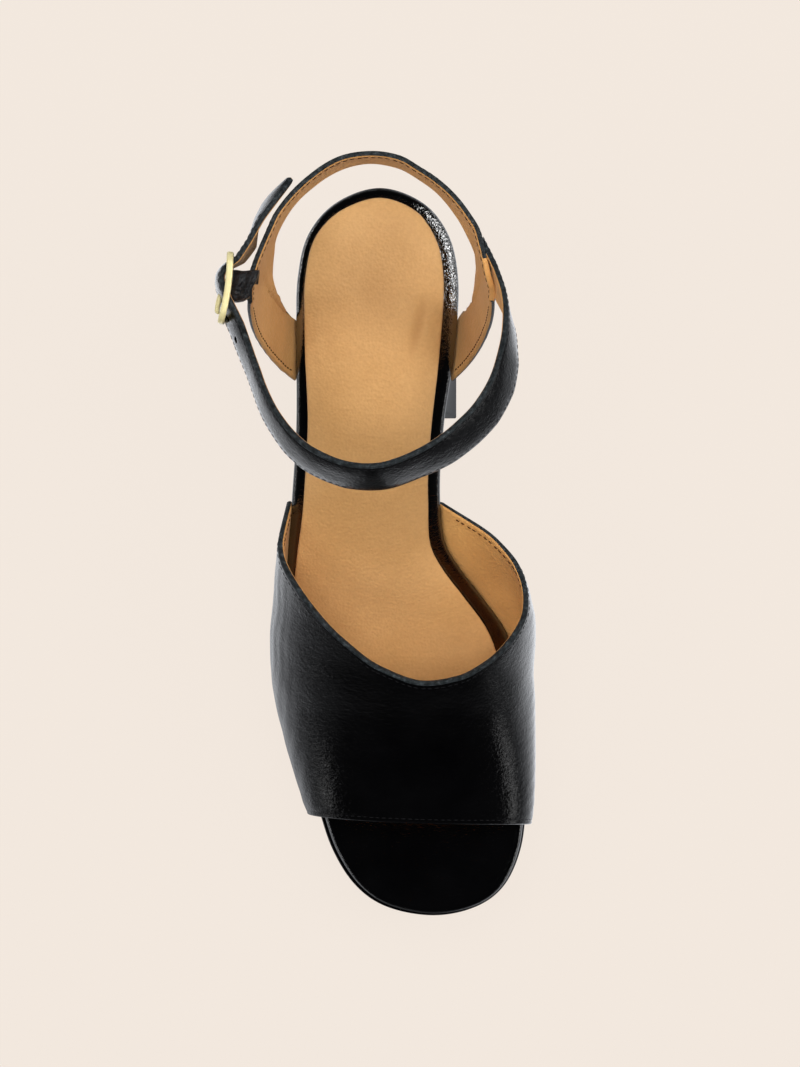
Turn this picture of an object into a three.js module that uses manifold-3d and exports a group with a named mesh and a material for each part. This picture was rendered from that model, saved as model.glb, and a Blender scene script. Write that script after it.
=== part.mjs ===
// Platform sandal, right shoe, in millimetres.
// +Z is up, +Y points to the heel, +X to the big-toe side.
// The origin is on the floor, at the middle of the heel's base.
import * as THREE from 'three';
import { mergeVertices } from 'three/addons/utils/BufferGeometryUtils.js';
import Module from 'manifold-3d';

// Driving sizes of the shoe
const soleLength = 233.6; // in plan, from the back of the heel to the tip of the toe
const ballWidth = 80;
const seatWidth = 51.6; // across the heel
const heelHeight = 85.5; // floor to the underside of the footbed at the back
const platformHeight = 22; // at the ball
const outsoleThickness = 3;
const topPieceThickness = 5;
const footbedThickness = 5;
const toeSpring = 6;
const heelLength = 60; // the heel's base, front to back
const heelUndercut = 9.5; // how far the back of the heel curves in above its base
const instepHeight = 67; // top of the vamp's arch over the footbed's underside, at its rear corners
const quarterHeight = 62; // top of the back strap over the seat
const strapWidth = 15;
const backStrapWidth = 12;
const strapRise = 30; // front of the ankle strap over the back strap

// Walls and clearances
const vampWall = 2;
const strapWall = 1.8;
const chapeWall = 1.4;
const sockThickness = 1.4;
const sockPadding = 2.4; // crown of the heel cushion over the sock's edge
const gap = 0.3; // between pieces that meet
const platformRim = 1.4; // how far the platform shows outside the footbed, at the toe
const edgeRound = 1.4; // rounding of the footbed's wrapped edge
const sockBorder = 4; // footbed left bare around the sock, at the waist

// Buckle, on the lateral side
const barRadius = 1;
const buckleLength = 21.5; // outside, along the strap
const buckleHeight = 20;
const buckleCorner = 4;
const buckleBow = 1.5; // how far its middle bar lies towards the foot
const buckleTilt = 18; // degrees that the strap climbs there, towards the front
const buckleTurn = 7.9; // degrees that its front end stands out from the shoe's length
const prongRadius = 0.9;
const chapeWidth = 11;
const chapeFront = 1.5; // where it lies on the tab, behind the middle bar
const chapeBack = 8.5;
const chapeDrop = 1.5; // how far its middle lies under the buckle's
const holeRadius = 1.1;
const holePitch = 7.5;
const spareHoles = 2; // between the buckle and the front

// Places that the pieces share, measured along Y
const backY = heelLength / 2 + heelUndercut;
const breastY = backY - heelLength - heelUndercut;
const heelRise = heelHeight - platformHeight - outsoleThickness;
const breastAt = (backY - breastY) / soleLength;

// Outline of the sole. at is a share of the sole's length from the back,
// lateral and medial are shares of the ball's width from the heel's centre line.
const outlineRows = [
  { at: 0.021, lateral: -0.172, medial: 0.18 },
  { at: 0.062, lateral: -0.276, medial: 0.275 },
  { at: 0.119, lateral: -0.318, medial: 0.314 },
  { at: 0.213, lateral: -0.324, medial: 0.302 },
  { at: 0.319, lateral: -0.328, medial: 0.259 },
  { at: 0.413, lateral: -0.349, medial: 0.246 },
  { at: 0.477, lateral: -0.366, medial: 0.268 },
  { at: 0.51, lateral: -0.374, medial: 0.323 },
  { at: 0.555, lateral: -0.385, medial: 0.424 },
  { at: 0.604, lateral: -0.392, medial: 0.524 },
  { at: 0.681, lateral: -0.381, medial: 0.588 },
  { at: 0.766, lateral: -0.32, medial: 0.606 },
  { at: 0.851, lateral: -0.237, medial: 0.599 },
  { at: 0.915, lateral: -0.156, medial: 0.567 },
  { at: 0.962, lateral: -0.05, medial: 0.492 },
  { at: 0.987, lateral: 0.06, medial: 0.388 },
];
const heelTip = 0.006; // sideways places of the two ends, in the same shares
const toeTip = 0.235;

// Height of the footbed's underside: climb is a share of the heel's rise, spring of the toe's.
const footbedRows = [
  { at: 0, climb: 1, spring: 0 },
  { at: 0.085, climb: 0.962, spring: 0 },
  { at: 0.191, climb: 0.902, spring: 0 },
  { at: 0.298, climb: 0.777, spring: 0 },
  { at: 0.404, climb: 0.562, spring: 0 },
  { at: 0.511, climb: 0.316, spring: 0 },
  { at: 0.596, climb: 0.132, spring: 0 },
  { at: 0.66, climb: 0.042, spring: 0 },
  { at: 0.723, climb: 0.004, spring: 0 },
  { at: 0.8, climb: 0, spring: 0 },
  { at: 0.894, climb: 0, spring: 0.27 },
  { at: 0.957, climb: 0, spring: 0.68 },
  { at: 1, climb: 0, spring: 1.08 },
];

// The platform's rim round the footbed, shares of the rim.
const rimRows = [
  { at: 0.29, lateral: -0.35, medial: -0.35 },
  { at: 0.45, lateral: -0.3, medial: -0.3 },
  { at: 0.56, lateral: 0.5, medial: 0.1 },
  { at: 0.66, lateral: 1, medial: 0.57 },
];

// Footbed left bare beside the sock, shares of the border.
const borderRows = [
  { at: 0, lateral: 0.82, medial: 0.86 },
  { at: 0.06, lateral: 0.62, medial: 1.12 },
  { at: 0.2, lateral: 0.66, medial: 1.2 },
  { at: 0.32, lateral: 0.93, medial: 0.98 },
  { at: 0.42, lateral: 0.97, medial: 0.97 },
  { at: 0.53, lateral: 0.7, medial: 1.5 },
  { at: 0.75, lateral: 0.72, medial: 1.4 },
];

// Height of the platform's underside, over the outsole.
const undersideRows = [
  { at: 0.29, climb: 1.035, spring: 0 },
  { at: 0.404, climb: 0.74, spring: 0 },
  { at: 0.511, climb: 0.32, spring: 0 },
  { at: 0.562, climb: 0.12, spring: 0 },
  { at: 0.604, climb: 0.022, spring: 0 },
  { at: 0.638, climb: 0, spring: 0 },
  { at: 0.83, climb: 0, spring: 0 },
  { at: 0.894, climb: 0, spring: 0.33 },
  { at: 0.957, climb: 0, spring: 0.95 },
  { at: 1, climb: 0, spring: 1.55 },
];

// Sections of the vamp's arch: how far each wall flares outside the feather line, as a share
// of the ball's width, and the rise of its ridge, as a share of the instep.
const archRows = [
  { at: 0.419, lateral: -0.006, medial: 0.16 },
  { at: 0.47, lateral: 0.004, medial: 0.226 },
  { at: 0.51, lateral: 0.008, medial: 0.212 },
  { at: 0.56, lateral: 0.011, medial: 0.152 },
  { at: 0.61, lateral: 0.017, medial: 0.072 },
  { at: 0.67, lateral: 0.015, medial: 0.018 },
  { at: 0.76, lateral: 0.011, medial: 0.001 },
  { at: 0.88, lateral: 0.014, medial: 0 },
];
const riseRows = [
  { at: 0.419, rise: 1 },
  { at: 0.51, rise: 0.93 },
  { at: 0.61, rise: 0.808 },
  { at: 0.67, rise: 0.727 },
  { at: 0.76, rise: 0.56 },
  { at: 0.88, rise: 0.4 },
];
const ridge = 0.188; // the arch's ridge, a share of the ball's width from the heel's centre line
const bulge = 0.3; // height of the arch's widest place, a share of its rise
const bulgeTurn = 0.25; // share of each side's columns under that place
const shoulder = { lateral: 1.45, medial: 1.15 }; // above 1, the shoulder drops faster

// Throat of the vamp: turn goes from 0 at the lateral feather line to 1 at the medial one.
const throatRows = [
  { turn: 0, at: 0.419 },
  { turn: 0.068, at: 0.446 },
  { turn: 0.12, at: 0.469 },
  { turn: 0.18, at: 0.497 },
  { turn: 0.24, at: 0.527 },
  { turn: 0.3, at: 0.565 },
  { turn: 0.365, at: 0.609 },
  { turn: 0.43, at: 0.648 },
  { turn: 0.5, at: 0.668 },
  { turn: 0.572, at: 0.661 },
  { turn: 0.641, at: 0.641 },
  { turn: 0.709, at: 0.61 },
  { turn: 0.794, at: 0.562 },
  { turn: 0.87, at: 0.509 },
  { turn: 0.915, at: 0.479 },
  { turn: 0.955, at: 0.45 },
  { turn: 1, at: 0.419 },
];
const vampFront = { lateral: 0.858, medial: 0.876 }; // the front edge, shares of the sole's length

// Quarter strap, its outer face, from the lateral tab round the back to the medial tab.
// x is a share of half the seat, y of the sole's length from the back, z of the quarter's height;
// foot values are on the lower edge and top values on the upper edge. A row with no footX
// stands against the footbed's side.
const quarterRows = [
  { footY: 0.256, footZ: 0, topX: -1.505, topY: 0.17, topZ: 0.87, belly: 1 },
  { footY: 0.232, footZ: 0, topX: -1.495, topY: 0.148, topZ: 0.965, belly: 1 },
  { footY: 0.205, footZ: 0, topX: -1.46, topY: 0.128, topZ: 1, belly: 1 },
  { footY: 0.176, footZ: 0, topX: -1.415, topY: 0.113, topZ: 1, belly: 0.85 },
  { footX: -1.14, footY: 0.162, footZ: 0.13, topX: -1.375, topY: 0.102, topZ: 1, belly: 0.6 },
  { footX: -1.225, footY: 0.148, footZ: 0.29, topX: -1.345, topY: 0.094, topZ: 1, belly: 0.4 },
  { footX: -1.28, footY: 0.13, footZ: 0.46, topX: -1.3, topY: 0.083, topZ: 1, belly: 0.2 },
  { footX: -1.27, footY: 0.106, footZ: 0.63, topX: -1.25, topY: 0.071, topZ: 1, belly: 0.1 },
  { footX: -1.22, footY: 0.077, footZ: 0.77, topX: -1.18, topY: 0.055, topZ: 1, belly: 0 },
  { footX: -1.055, footY: 0.045, footZ: 1, topX: -1.05, topY: 0.036, topZ: 1, belly: 0 },
  { footX: -0.815, footY: 0.017, footZ: 1, topX: -0.81, topY: 0.01, topZ: 1, belly: 0 },
  { footX: -0.45, footY: -0.0085, footZ: 1, topX: -0.45, topY: -0.0155, topZ: 1, belly: 0 },
  { footX: -0.085, footY: -0.0175, footZ: 1, topX: -0.082, topY: -0.0225, topZ: 1, belly: 0 },
  { footX: 0.262, footY: -0.011, footZ: 1, topX: 0.262, topY: -0.017, topZ: 1, belly: 0 },
  { footX: 0.5, footY: 0.003, footZ: 1, topX: 0.49, topY: -0.003, topZ: 1, belly: 0 },
  { footX: 0.75, footY: 0.024, footZ: 1, topX: 0.73, topY: 0.015, topZ: 1, belly: 0 },
  { footX: 0.98, footY: 0.056, footZ: 1, topX: 0.94, topY: 0.037, topZ: 1, belly: 0 },
  { footX: 1.13, footY: 0.086, footZ: 0.75, topX: 1.09, topY: 0.059, topZ: 1, belly: 0 },
  { footX: 1.205, footY: 0.114, footZ: 0.58, topX: 1.17, topY: 0.073, topZ: 1, belly: 0 },
  { footX: 1.21, footY: 0.132, footZ: 0.45, topX: 1.205, topY: 0.084, topZ: 1, belly: 0.1 },
  { footX: 1.185, footY: 0.151, footZ: 0.3, topX: 1.225, topY: 0.093, topZ: 1, belly: 0.2 },
  { footX: 1.13, footY: 0.166, footZ: 0.14, topX: 1.245, topY: 0.101, topZ: 1, belly: 0.4 },
  { footY: 0.178, footZ: 0, topX: 1.27, topY: 0.113, topZ: 1, belly: 0.7 },
  { footY: 0.207, footZ: 0, topX: 1.31, topY: 0.132, topZ: 0.99, belly: 0.8 },
  { footY: 0.233, footZ: 0, topX: 1.36, topY: 0.15, topZ: 0.95, belly: 0.8 },
  { footY: 0.257, footZ: 0, topX: 1.36, topY: 0.168, topZ: 0.88, belly: 0.8 },
];
const tabBelly = 3.4; // how far the tabs swell outwards at half height

// Ankle strap, its inner face at the upper edge: from the medial quarter round the front to
// the buckle, then from the buckle to the tip. x and y are shares as above, rise is a share
// of the strap's rise, and lean is the angle at which the lower edge stands out.
const frontRows = [
  { x: 1.262, y: 0.1, rise: 0.0, lean: 2 },
  { x: 1.335, y: 0.134, rise: 0.13, lean: 6 },
  { x: 1.385, y: 0.168, rise: 0.27, lean: 13 },
  { x: 1.39, y: 0.206, rise: 0.4, lean: 17 },
  { x: 1.325, y: 0.243, rise: 0.53, lean: 19 },
  { x: 1.225, y: 0.271, rise: 0.63, lean: 21 },
  { x: 1.054, y: 0.299, rise: 0.73, lean: 23 },
  { x: 0.884, y: 0.319, rise: 0.8, lean: 25 },
  { x: 0.655, y: 0.342, rise: 0.88, lean: 27 },
  { x: 0.376, y: 0.361, rise: 0.95, lean: 28 },
  { x: 0.039, y: 0.374, rise: 1, lean: 28 },
  { x: -0.295, y: 0.373, rise: 0.98, lean: 27 },
  { x: -0.636, y: 0.359, rise: 0.92, lean: 24 },
  { x: -0.86, y: 0.341, rise: 0.85, lean: 20 },
  { x: -1.095, y: 0.31, rise: 0.73, lean: 13 },
  { x: -1.245, y: 0.28, rise: 0.61, lean: 8 },
  { x: -1.345, y: 0.256, rise: 0.52, lean: 6 },
  { x: -1.45, y: 0.234, rise: 0.43, lean: 6 },
];
const tailRows = [
  { x: -1.455, y: 0.098, rise: 0.07, lean: 6 },
  { x: -1.33, y: 0.069, rise: 0.02, lean: 6 },
  { x: -1.18, y: 0.043, rise: -0.02, lean: 6 },
  { x: -1.01, y: 0.019, rise: -0.06, lean: 7 },
];
const buckleX = -1.745; // middle of the buckle, in the same shares
const buckleY = 0.164;
const buckleRise = 0.24;
const buckleLean = 2.5; // degrees that its top lies in towards the foot
const tipLength = 0.045; // share of the strap that is cut on the slant, to its tip
const tipTaper = 0.8;

// Reads a table's column at any place, as a smooth curve that never overshoots its rows.
function read(rows, column, place, key = 'at') {
  const last = rows.length - 1;
  const t = Math.min(Math.max(place, rows[0][key]), rows[last][key]);
  let i = 0;
  while (i < last - 1 && rows[i + 1][key] < t) i += 1;
  const slope = (j) => (rows[j + 1][column] - rows[j][column]) / (rows[j + 1][key] - rows[j][key]);
  const bend = (j) => {
    if (j <= 0) return slope(0);
    if (j >= last) return slope(last - 1);
    const before = slope(j - 1);
    const after = slope(j);
    if (before * after <= 0) return 0;
    return (2 * before * after) / (before + after);
  };
  const span = rows[i + 1][key] - rows[i][key];
  const s = (t - rows[i][key]) / span;
  const start = rows[i][column];
  const change = rows[i + 1][column] - start;
  const a = bend(i) * span;
  const b = bend(i + 1) * span;
  return start + s * a + s * s * (3 * change - 2 * a - b) + s * s * s * (a + b - 2 * change);
}

function mix(a, b, share) {
  return a + (b - a) * share;
}

// Both sides of the sole as fine polylines of one closed curve through the outline rows.
const sides = (() => {
  const point = (share, at) => new THREE.Vector3(share * ballWidth, at, 0);
  const lateral = outlineRows.map((row) => point(row.lateral, row.at * soleLength));
  const medial = outlineRows.map((row) => point(row.medial, row.at * soleLength));
  const toe = point(toeTip, soleLength);
  const loop = [point(heelTip, 0), ...lateral, toe, ...medial.reverse()];
  const fine = new THREE.CatmullRomCurve3(loop, true, 'centripetal').getPoints(loop.length * 24);
  const turn = fine.reduce((best, p, i) => (p.y > fine[best].y ? i : best), 0);
  return { lateral: fine.slice(0, turn + 1), medial: fine.slice(turn).reverse() };
})();

// X of one side of the sole at a share of its length.
function edgeX(side, at) {
  const line = sides[side];
  const wanted = Math.min(Math.max(at * soleLength, 0), soleLength);
  for (let i = 1; i < line.length; i += 1) {
    if (line[i].y >= wanted) {
      const step = line[i].y - line[i - 1].y;
      const share = step > 1e-9 ? (wanted - line[i - 1].y) / step : 1;
      return mix(line[i - 1].x, line[i].x, Math.max(share, 0));
    }
  }
  return line[line.length - 1].x;
}

function footbedUnder(y) {
  const at = (backY - y) / soleLength;
  const climb = read(footbedRows, 'climb', at) * heelRise;
  return outsoleThickness + platformHeight + climb + read(footbedRows, 'spring', at) * toeSpring;
}

function footbedTop(y) {
  return footbedUnder(y) + footbedThickness;
}

function platformUnder(y) {
  const at = (backY - y) / soleLength;
  const climb = read(undersideRows, 'climb', at) * heelRise;
  return outsoleThickness + climb + read(undersideRows, 'spring', at) * toeSpring;
}

// Shares of the sole's length from one place to another, closer together at rounded ends.
function stations(from, to, count, roundStart, roundEnd) {
  const list = [];
  for (let i = 0; i <= count; i += 1) {
    const t = i / count;
    let share = t;
    if (roundStart && roundEnd) share = (1 - Math.cos(Math.PI * t)) / 2;
    else if (roundStart) share = 1 - Math.cos((Math.PI / 2) * t);
    else if (roundEnd) share = Math.sin((Math.PI / 2) * t);
    list.push(mix(from, to, share));
  }
  return list;
}

// A closed ring of plan points round part of the sole: down the lateral side, back up the medial.
// Each point knows the place on the shoe's spine that it faces, and if it is on a straight cut end.
function planRing(ats) {
  const first = ats[0];
  const last = ats[ats.length - 1];
  const turn = 0.09; // share of the length where the fans at the two ends turn
  const spineAt = (at) => Math.min(Math.max(at, first + turn), last - turn);
  const make = (side, at) => {
    const middle = spineAt(at);
    return {
      side,
      at,
      straight: (at === first && first > 0.001) || (at === last && last < 0.999),
      x: edgeX(side, at),
      y: backY - at * soleLength,
      spineX: (edgeX('lateral', middle) + edgeX('medial', middle)) / 2,
      spineY: backY - middle * soleLength,
    };
  };
  const down = ats.map((at) => make('lateral', at));
  const up = ats.map((at) => make('medial', at)).reverse();
  if (last > 0.999) up.shift();
  if (first < 0.001) up.pop();
  return [...down, ...up];
}

// Moves each plan point towards the spine by a distance, which may differ from side to side.
function insetRing(ring, lateral, medial) {
  const value = (inset, at) => (typeof inset === 'function' ? inset(at) : inset);
  return ring.map((p) => {
    const dx = p.spineX - p.x;
    const dy = p.straight ? 0 : p.spineY - p.y;
    const length = Math.hypot(dx, dy);
    const share = Math.min(Math.max((p.x - p.spineX) / seatWidth + 0.5, 0), 1);
    const wanted = mix(value(lateral, p.at), value(medial, p.at), share);
    const inset = Math.min(wanted, length * 0.9);
    return { ...p, x: p.x + (dx / length) * inset, y: p.y + (dy / length) * inset };
  });
}

function towardsSpine(ring, share) {
  return ring.map((p) => ({ ...p, x: mix(p.x, p.spineX, share), y: mix(p.y, p.spineY, share) }));
}

function atHeight(ring, height) {
  return ring.map((p) => new THREE.Vector3(p.x, p.y, height(p.y, p.x)));
}

function geometryOf(triangles) {
  const positions = [];
  for (const [a, b, c] of triangles) {
    if (a.distanceTo(b) < 1e-4 || b.distanceTo(c) < 1e-4 || c.distanceTo(a) < 1e-4) continue;
    positions.push(a.x, a.y, a.z, b.x, b.y, b.z, c.x, c.y, c.z);
  }
  const geometry = new THREE.BufferGeometry();
  geometry.setAttribute('position', new THREE.Float32BufferAttribute(positions, 3));
  geometry.computeVertexNormals();
  return geometry;
}

function band(triangles, low, high) {
  const count = low.length;
  for (let i = 0; i < count; i += 1) {
    const j = (i + 1) % count;
    triangles.push([low[i], low[j], high[j]], [low[i], high[j], high[i]]);
  }
}

// A solid through stacked rings, whose first and last rings have closed up on the spine.
function stacked(rings) {
  const triangles = [];
  for (let i = 1; i < rings.length; i += 1) band(triangles, rings[i - 1], rings[i]);
  return geometryOf(triangles);
}

// A wall between two grids of points, closed along its four borders.
function walled(outer, inner) {
  const triangles = [];
  const rows = outer.length;
  const columns = outer[0].length;
  const quad = (a, b, c, d) => triangles.push([a, c, b], [a, d, c]);
  for (let i = 1; i < rows; i += 1) {
    for (let j = 1; j < columns; j += 1) {
      quad(outer[i - 1][j - 1], outer[i - 1][j], outer[i][j], outer[i][j - 1]);
      quad(inner[i - 1][j - 1], inner[i][j - 1], inner[i][j], inner[i - 1][j]);
    }
    quad(outer[i - 1][0], outer[i][0], inner[i][0], inner[i - 1][0]);
    const end = columns - 1;
    quad(outer[i][end], outer[i - 1][end], inner[i - 1][end], inner[i][end]);
  }
  for (let j = 1; j < columns; j += 1) {
    const end = rows - 1;
    quad(outer[0][j], outer[0][j - 1], inner[0][j - 1], inner[0][j]);
    quad(outer[end][j - 1], outer[end][j], inner[end][j], inner[end][j - 1]);
  }
  return geometryOf(triangles);
}

// Shifts a grid along its own normals, worked out from its neighbours.
function offsetGrid(grid, distance) {
  return grid.map((row, i) => row.map((point, j) => {
    const above = grid[Math.min(i + 1, grid.length - 1)][j];
    const below = grid[Math.max(i - 1, 0)][j];
    const right = row[Math.min(j + 1, row.length - 1)];
    const left = row[Math.max(j - 1, 0)];
    const normal = new THREE.Vector3().crossVectors(above.clone().sub(below), right.clone().sub(left));
    return point.clone().addScaledVector(normal.normalize(), distance);
  }));
}

// Footbed: a thin slab along the whole last, with a rounded, wrapped edge.
function makeFootbed() {
  const plan = planRing(stations(0, 1, 32, true, true));
  const edge = insetRing(plan, edgeRound, edgeRound);
  const inner = towardsSpine(plan, 0.5);
  const spine = towardsSpine(plan, 1);
  const half = edgeRound * 0.3;
  return stacked([
    atHeight(spine, footbedUnder),
    atHeight(inner, footbedUnder),
    atHeight(insetRing(plan, half, half), footbedUnder),
    atHeight(plan, (y) => footbedUnder(y) + half),
    atHeight(plan, (y) => footbedTop(y) - edgeRound),
    atHeight(insetRing(plan, half, half), (y) => footbedTop(y) - half),
    atHeight(edge, footbedTop),
    atHeight(inner, footbedTop),
    atHeight(spine, footbedTop),
  ]);
}

// Sock: a thin leather sheet on the footbed, padded over the heel and arch, ending under the vamp.
const sockEnd = 0.75; // share of the sole's length
function sockRim(plan, extra) {
  return insetRing(
    plan,
    (at) => read(borderRows, 'lateral', at) * sockBorder + extra,
    (at) => read(borderRows, 'medial', at) * sockBorder + extra,
  );
}

function makeSock() {
  const plan = planRing(stations(0, sockEnd, 26, true, false));
  const rim = sockRim(plan, 0);
  const shallow = towardsSpine(rim, 0.22);
  const deep = towardsSpine(rim, 0.55);
  const spine = towardsSpine(rim, 1);
  const under = (y) => footbedTop(y) + 1.7 * gap;
  const padAt = (y) => Math.min(1, Math.max(0, (sockEnd - (backY - y) / soleLength) / 0.22));
  const crown = (share) => (y) => under(y) + sockThickness + sockPadding * share * padAt(y);
  return stacked([
    atHeight(spine, under),
    atHeight(deep, under),
    atHeight(rim, under),
    atHeight(rim, (y) => under(y) + sockThickness * 0.7),
    atHeight(sockRim(plan, 0.6), crown(0.1)),
    atHeight(shallow, crown(0.75)),
    atHeight(deep, crown(1)),
    atHeight(spine, crown(1)),
  ]);
}

// Platform and outsole: slabs from the heel's front face to the toe.
function makeSlab(top, under, inset, round) {
  const plan = planRing(stations(breastAt + gap / soleLength, 1, 26, false, true));
  const rim = (side, more) => (at) => inset + more - read(rimRows, side, at) * platformRim;
  const side = insetRing(plan, rim('lateral', 0), rim('medial', 0));
  const soft = insetRing(plan, rim('lateral', round), rim('medial', round));
  const inner = towardsSpine(plan, 0.5);
  const spine = towardsSpine(plan, 1);
  return stacked([
    atHeight(spine, under),
    atHeight(inner, under),
    atHeight(soft, under),
    atHeight(side, (y) => under(y) + round),
    atHeight(side, (y) => top(y) - round),
    atHeight(soft, top),
    atHeight(inner, top),
    atHeight(spine, top),
  ]);
}

function makePlatform() {
  return makeSlab((y) => footbedUnder(y) - 1.5 * gap, platformUnder, 0, 0.8);
}

function makeOutsole() {
  const top = (y) => platformUnder(y) - 1.5 * gap;
  const under = (y) => platformUnder(y) - outsoleThickness;
  return makeSlab(top, under, 0.3, 0.5);
}

// Heel: the sole's own outline at the seat, squared and drawn in at the floor.
function heelRing(share) {
  const plan = planRing(stations(0, breastAt, 14, true, false));
  const half = seatWidth / 2;
  const drawn = 1 - (heelUndercut / (backY - breastY)) * Math.sin((Math.PI / 2) * (1 - share));
  return insetRing(plan, 0.5, 0.5).map((p) => {
    const back = (p.y - breastY) / (backY - breastY);
    const round = Math.sqrt(Math.max(0, 1 - Math.max(0, (back - 0.52) / 0.48) ** 2));
    const edge = (p.side === 'lateral' ? -half : half) * round;
    return { ...p, x: mix(edge, p.x, share), y: breastY + back * (backY - breastY) * drawn };
  });
}

function makeHeel() {
  const top = (y) => footbedUnder(y) - 1.3 * gap;
  const base = topPieceThickness;
  const levels = [0, 0.15, 0.35, 0.6, 0.82, 1];
  const onSpine = (share) => towardsSpine(heelRing(share), 1);
  const level = (ring, share) => atHeight(ring, (y) => mix(base, top(y), share));
  return stacked([
    level(onSpine(0), 0),
    ...levels.map((share) => level(heelRing(share), share)),
    level(onSpine(1), 1),
  ]);
}

function makeTopPiece() {
  const ring = heelRing(0);
  const spine = towardsSpine(ring, 1);
  const top = topPieceThickness - gap;
  return stacked([
    atHeight(spine, () => 0),
    atHeight(insetRing(ring, 0.4, 0.4), () => 0),
    atHeight(ring, () => 0.4),
    atHeight(ring, () => top),
    atHeight(spine, () => top),
  ]);
}

// A point on the outside of the vamp's arch.
function archPoint(turn, at) {
  const side = turn < 0.5 ? 'lateral' : 'medial';
  const sign = turn < 0.5 ? -1 : 1;
  const t = 2 * Math.min(turn, 1 - turn);
  const y = backY - at * soleLength;
  const foot = edgeX(side, at) + sign * (2 * gap + vampWall);
  const flare = sign * read(archRows, side, at) * ballWidth;
  const rise = read(riseRows, 'rise', at) * instepHeight;
  const crest = ridge * ballWidth;
  let x;
  let up;
  if (t < bulgeTurn) {
    up = (bulge * t) / bulgeTurn;
    x = foot + flare * (1 - (1 - up / bulge) ** 2);
  } else {
    const angle = (Math.PI / 2) * ((t - bulgeTurn) / (1 - bulgeTurn));
    up = bulge + (1 - bulge) * Math.sin(angle) ** shoulder[side];
    x = crest + (foot + flare - crest) * Math.cos(angle);
  }
  return new THREE.Vector3(x, y, footbedUnder(y) + gap + rise * up);
}

// Vamp: one wide band over the toes, open at the throat, the toe and underneath.
function makeVamp() {
  const columns = 44;
  const rows = 14;
  const outer = [];
  for (let i = 0; i <= rows; i += 1) {
    const line = [];
    for (let j = 0; j <= columns; j += 1) {
      const turn = j / columns;
      const throat = read(throatRows, 'at', turn, 'turn');
      const front = mix(vampFront.lateral, vampFront.medial, turn);
      line.push(archPoint(turn, mix(throat, front, i / rows)));
    }
    outer.push(line);
  }
  return walled(outer, offsetGrid(outer, -vampWall));
}

// A point of the quarter's outer face, at a row of its table and a share of its height there.
function quarterPoint(row, share) {
  const half = seatWidth / 2;
  const seat = footbedUnder(backY - row.footY * soleLength) + gap;
  const top = footbedTop(backY) + quarterHeight - footbedThickness;
  const foot = row.footZ > 0.99 ? top - backStrapWidth : mix(seat, top, row.footZ);
  const swell = row.belly * tabBelly * 4 * share * (1 - share);
  const sign = Math.sign(row.topX);
  const side = sign < 0 ? 'lateral' : 'medial';
  const beside = edgeX(side, row.footY) + sign * (gap * 1.5 + strapWall);
  const footX = row.footX === undefined ? beside : row.footX * half;
  return new THREE.Vector3(
    mix(footX, row.topX * half, share) + sign * swell,
    backY - mix(row.footY, row.topY, share) * soleLength,
    mix(foot, mix(footbedUnder(backY), top, row.topZ), share),
  );
}

// Quarter strap: two tabs and the strap round the back, in one piece.
function makeQuarter() {
  const levels = 6;
  const outer = [];
  for (let i = 0; i <= levels; i += 1) {
    outer.push(quarterRows.map((row) => quarterPoint(row, i / levels)));
  }
  return walled(outer, offsetGrid(outer, -strapWall));
}

const strapTop = footbedTop(backY) + quarterHeight - footbedThickness;

// The buckle's own frame: x runs along the strap to the front, y up across it, z out of the shoe.
const tilt = THREE.MathUtils.degToRad(buckleTilt);
const turned = THREE.MathUtils.degToRad(buckleTurn);
const forward = new THREE.Vector3(-Math.sin(turned), -Math.cos(turned), 0);
const buckleAxis = forward.clone().multiplyScalar(Math.cos(tilt)).setZ(Math.sin(tilt));
const outward = new THREE.Vector3(-Math.cos(turned), Math.sin(turned), 0);
const leaned = THREE.MathUtils.degToRad(buckleLean);
const upright = new THREE.Vector3(0, 0, Math.cos(leaned)).addScaledVector(outward, -Math.sin(leaned));
const buckleOut = new THREE.Vector3().crossVectors(buckleAxis, upright).normalize();
const buckleUp = new THREE.Vector3().crossVectors(buckleOut, buckleAxis);
const buckleMiddle = new THREE.Vector3(
  (buckleX * seatWidth) / 2,
  backY - buckleY * soleLength,
  strapTop + buckleRise * strapRise - (strapWidth / 2) * Math.cos(leaned),
);
const bucklePlace = new THREE.Matrix4()
  .makeBasis(buckleAxis, buckleUp, buckleOut)
  .setPosition(buckleMiddle);
const endBar = buckleLength / 2 - barRadius; // from the middle bar to the bar at each end
const chapeRadius = barRadius + gap + chapeWall;

// The strap's way through the buckle: under the front bar, over the middle one, under the rear.
function weaveRows() {
  const under = -(barRadius + 4 * gap + strapWall);
  const over = chapeRadius - buckleBow + gap;
  const steps = [
    { along: 1.02, out: under, swing: 0 },
    { along: 0.8, out: mix(under, over, 0.12), swing: 0.01 },
    { along: 0.5, out: mix(under, over, 0.66), swing: 0.03 },
    { along: 0.2, out: over, swing: 0.06 },
    { along: -0.15, out: over, swing: 0.06 },
    { along: -0.5, out: mix(under, over, 0.66), swing: 0.06 },
    { along: -0.8, out: mix(under, over, 0.12), swing: 0.01 },
    { along: -1.02, out: under, swing: 0 },
  ];
  return steps.map((step) => {
    const local = new THREE.Vector3(step.along * endBar, strapWidth / 2, step.out);
    const down = buckleUp.clone().multiplyScalar(-1).addScaledVector(buckleOut, step.swing);
    return { point: local.applyMatrix4(bucklePlace), down: down.normalize() };
  });
}

// All stations of the ankle strap, from its medial end to its tip.
function ankleStations() {
  const place = (row) => ({
    point: new THREE.Vector3(
      (row.x * seatWidth) / 2,
      backY - row.y * soleLength,
      strapTop + row.rise * strapRise,
    ),
    lean: row.lean,
  });
  return [...frontRows.map(place), ...weaveRows(), ...tailRows.map(place)];
}

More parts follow.
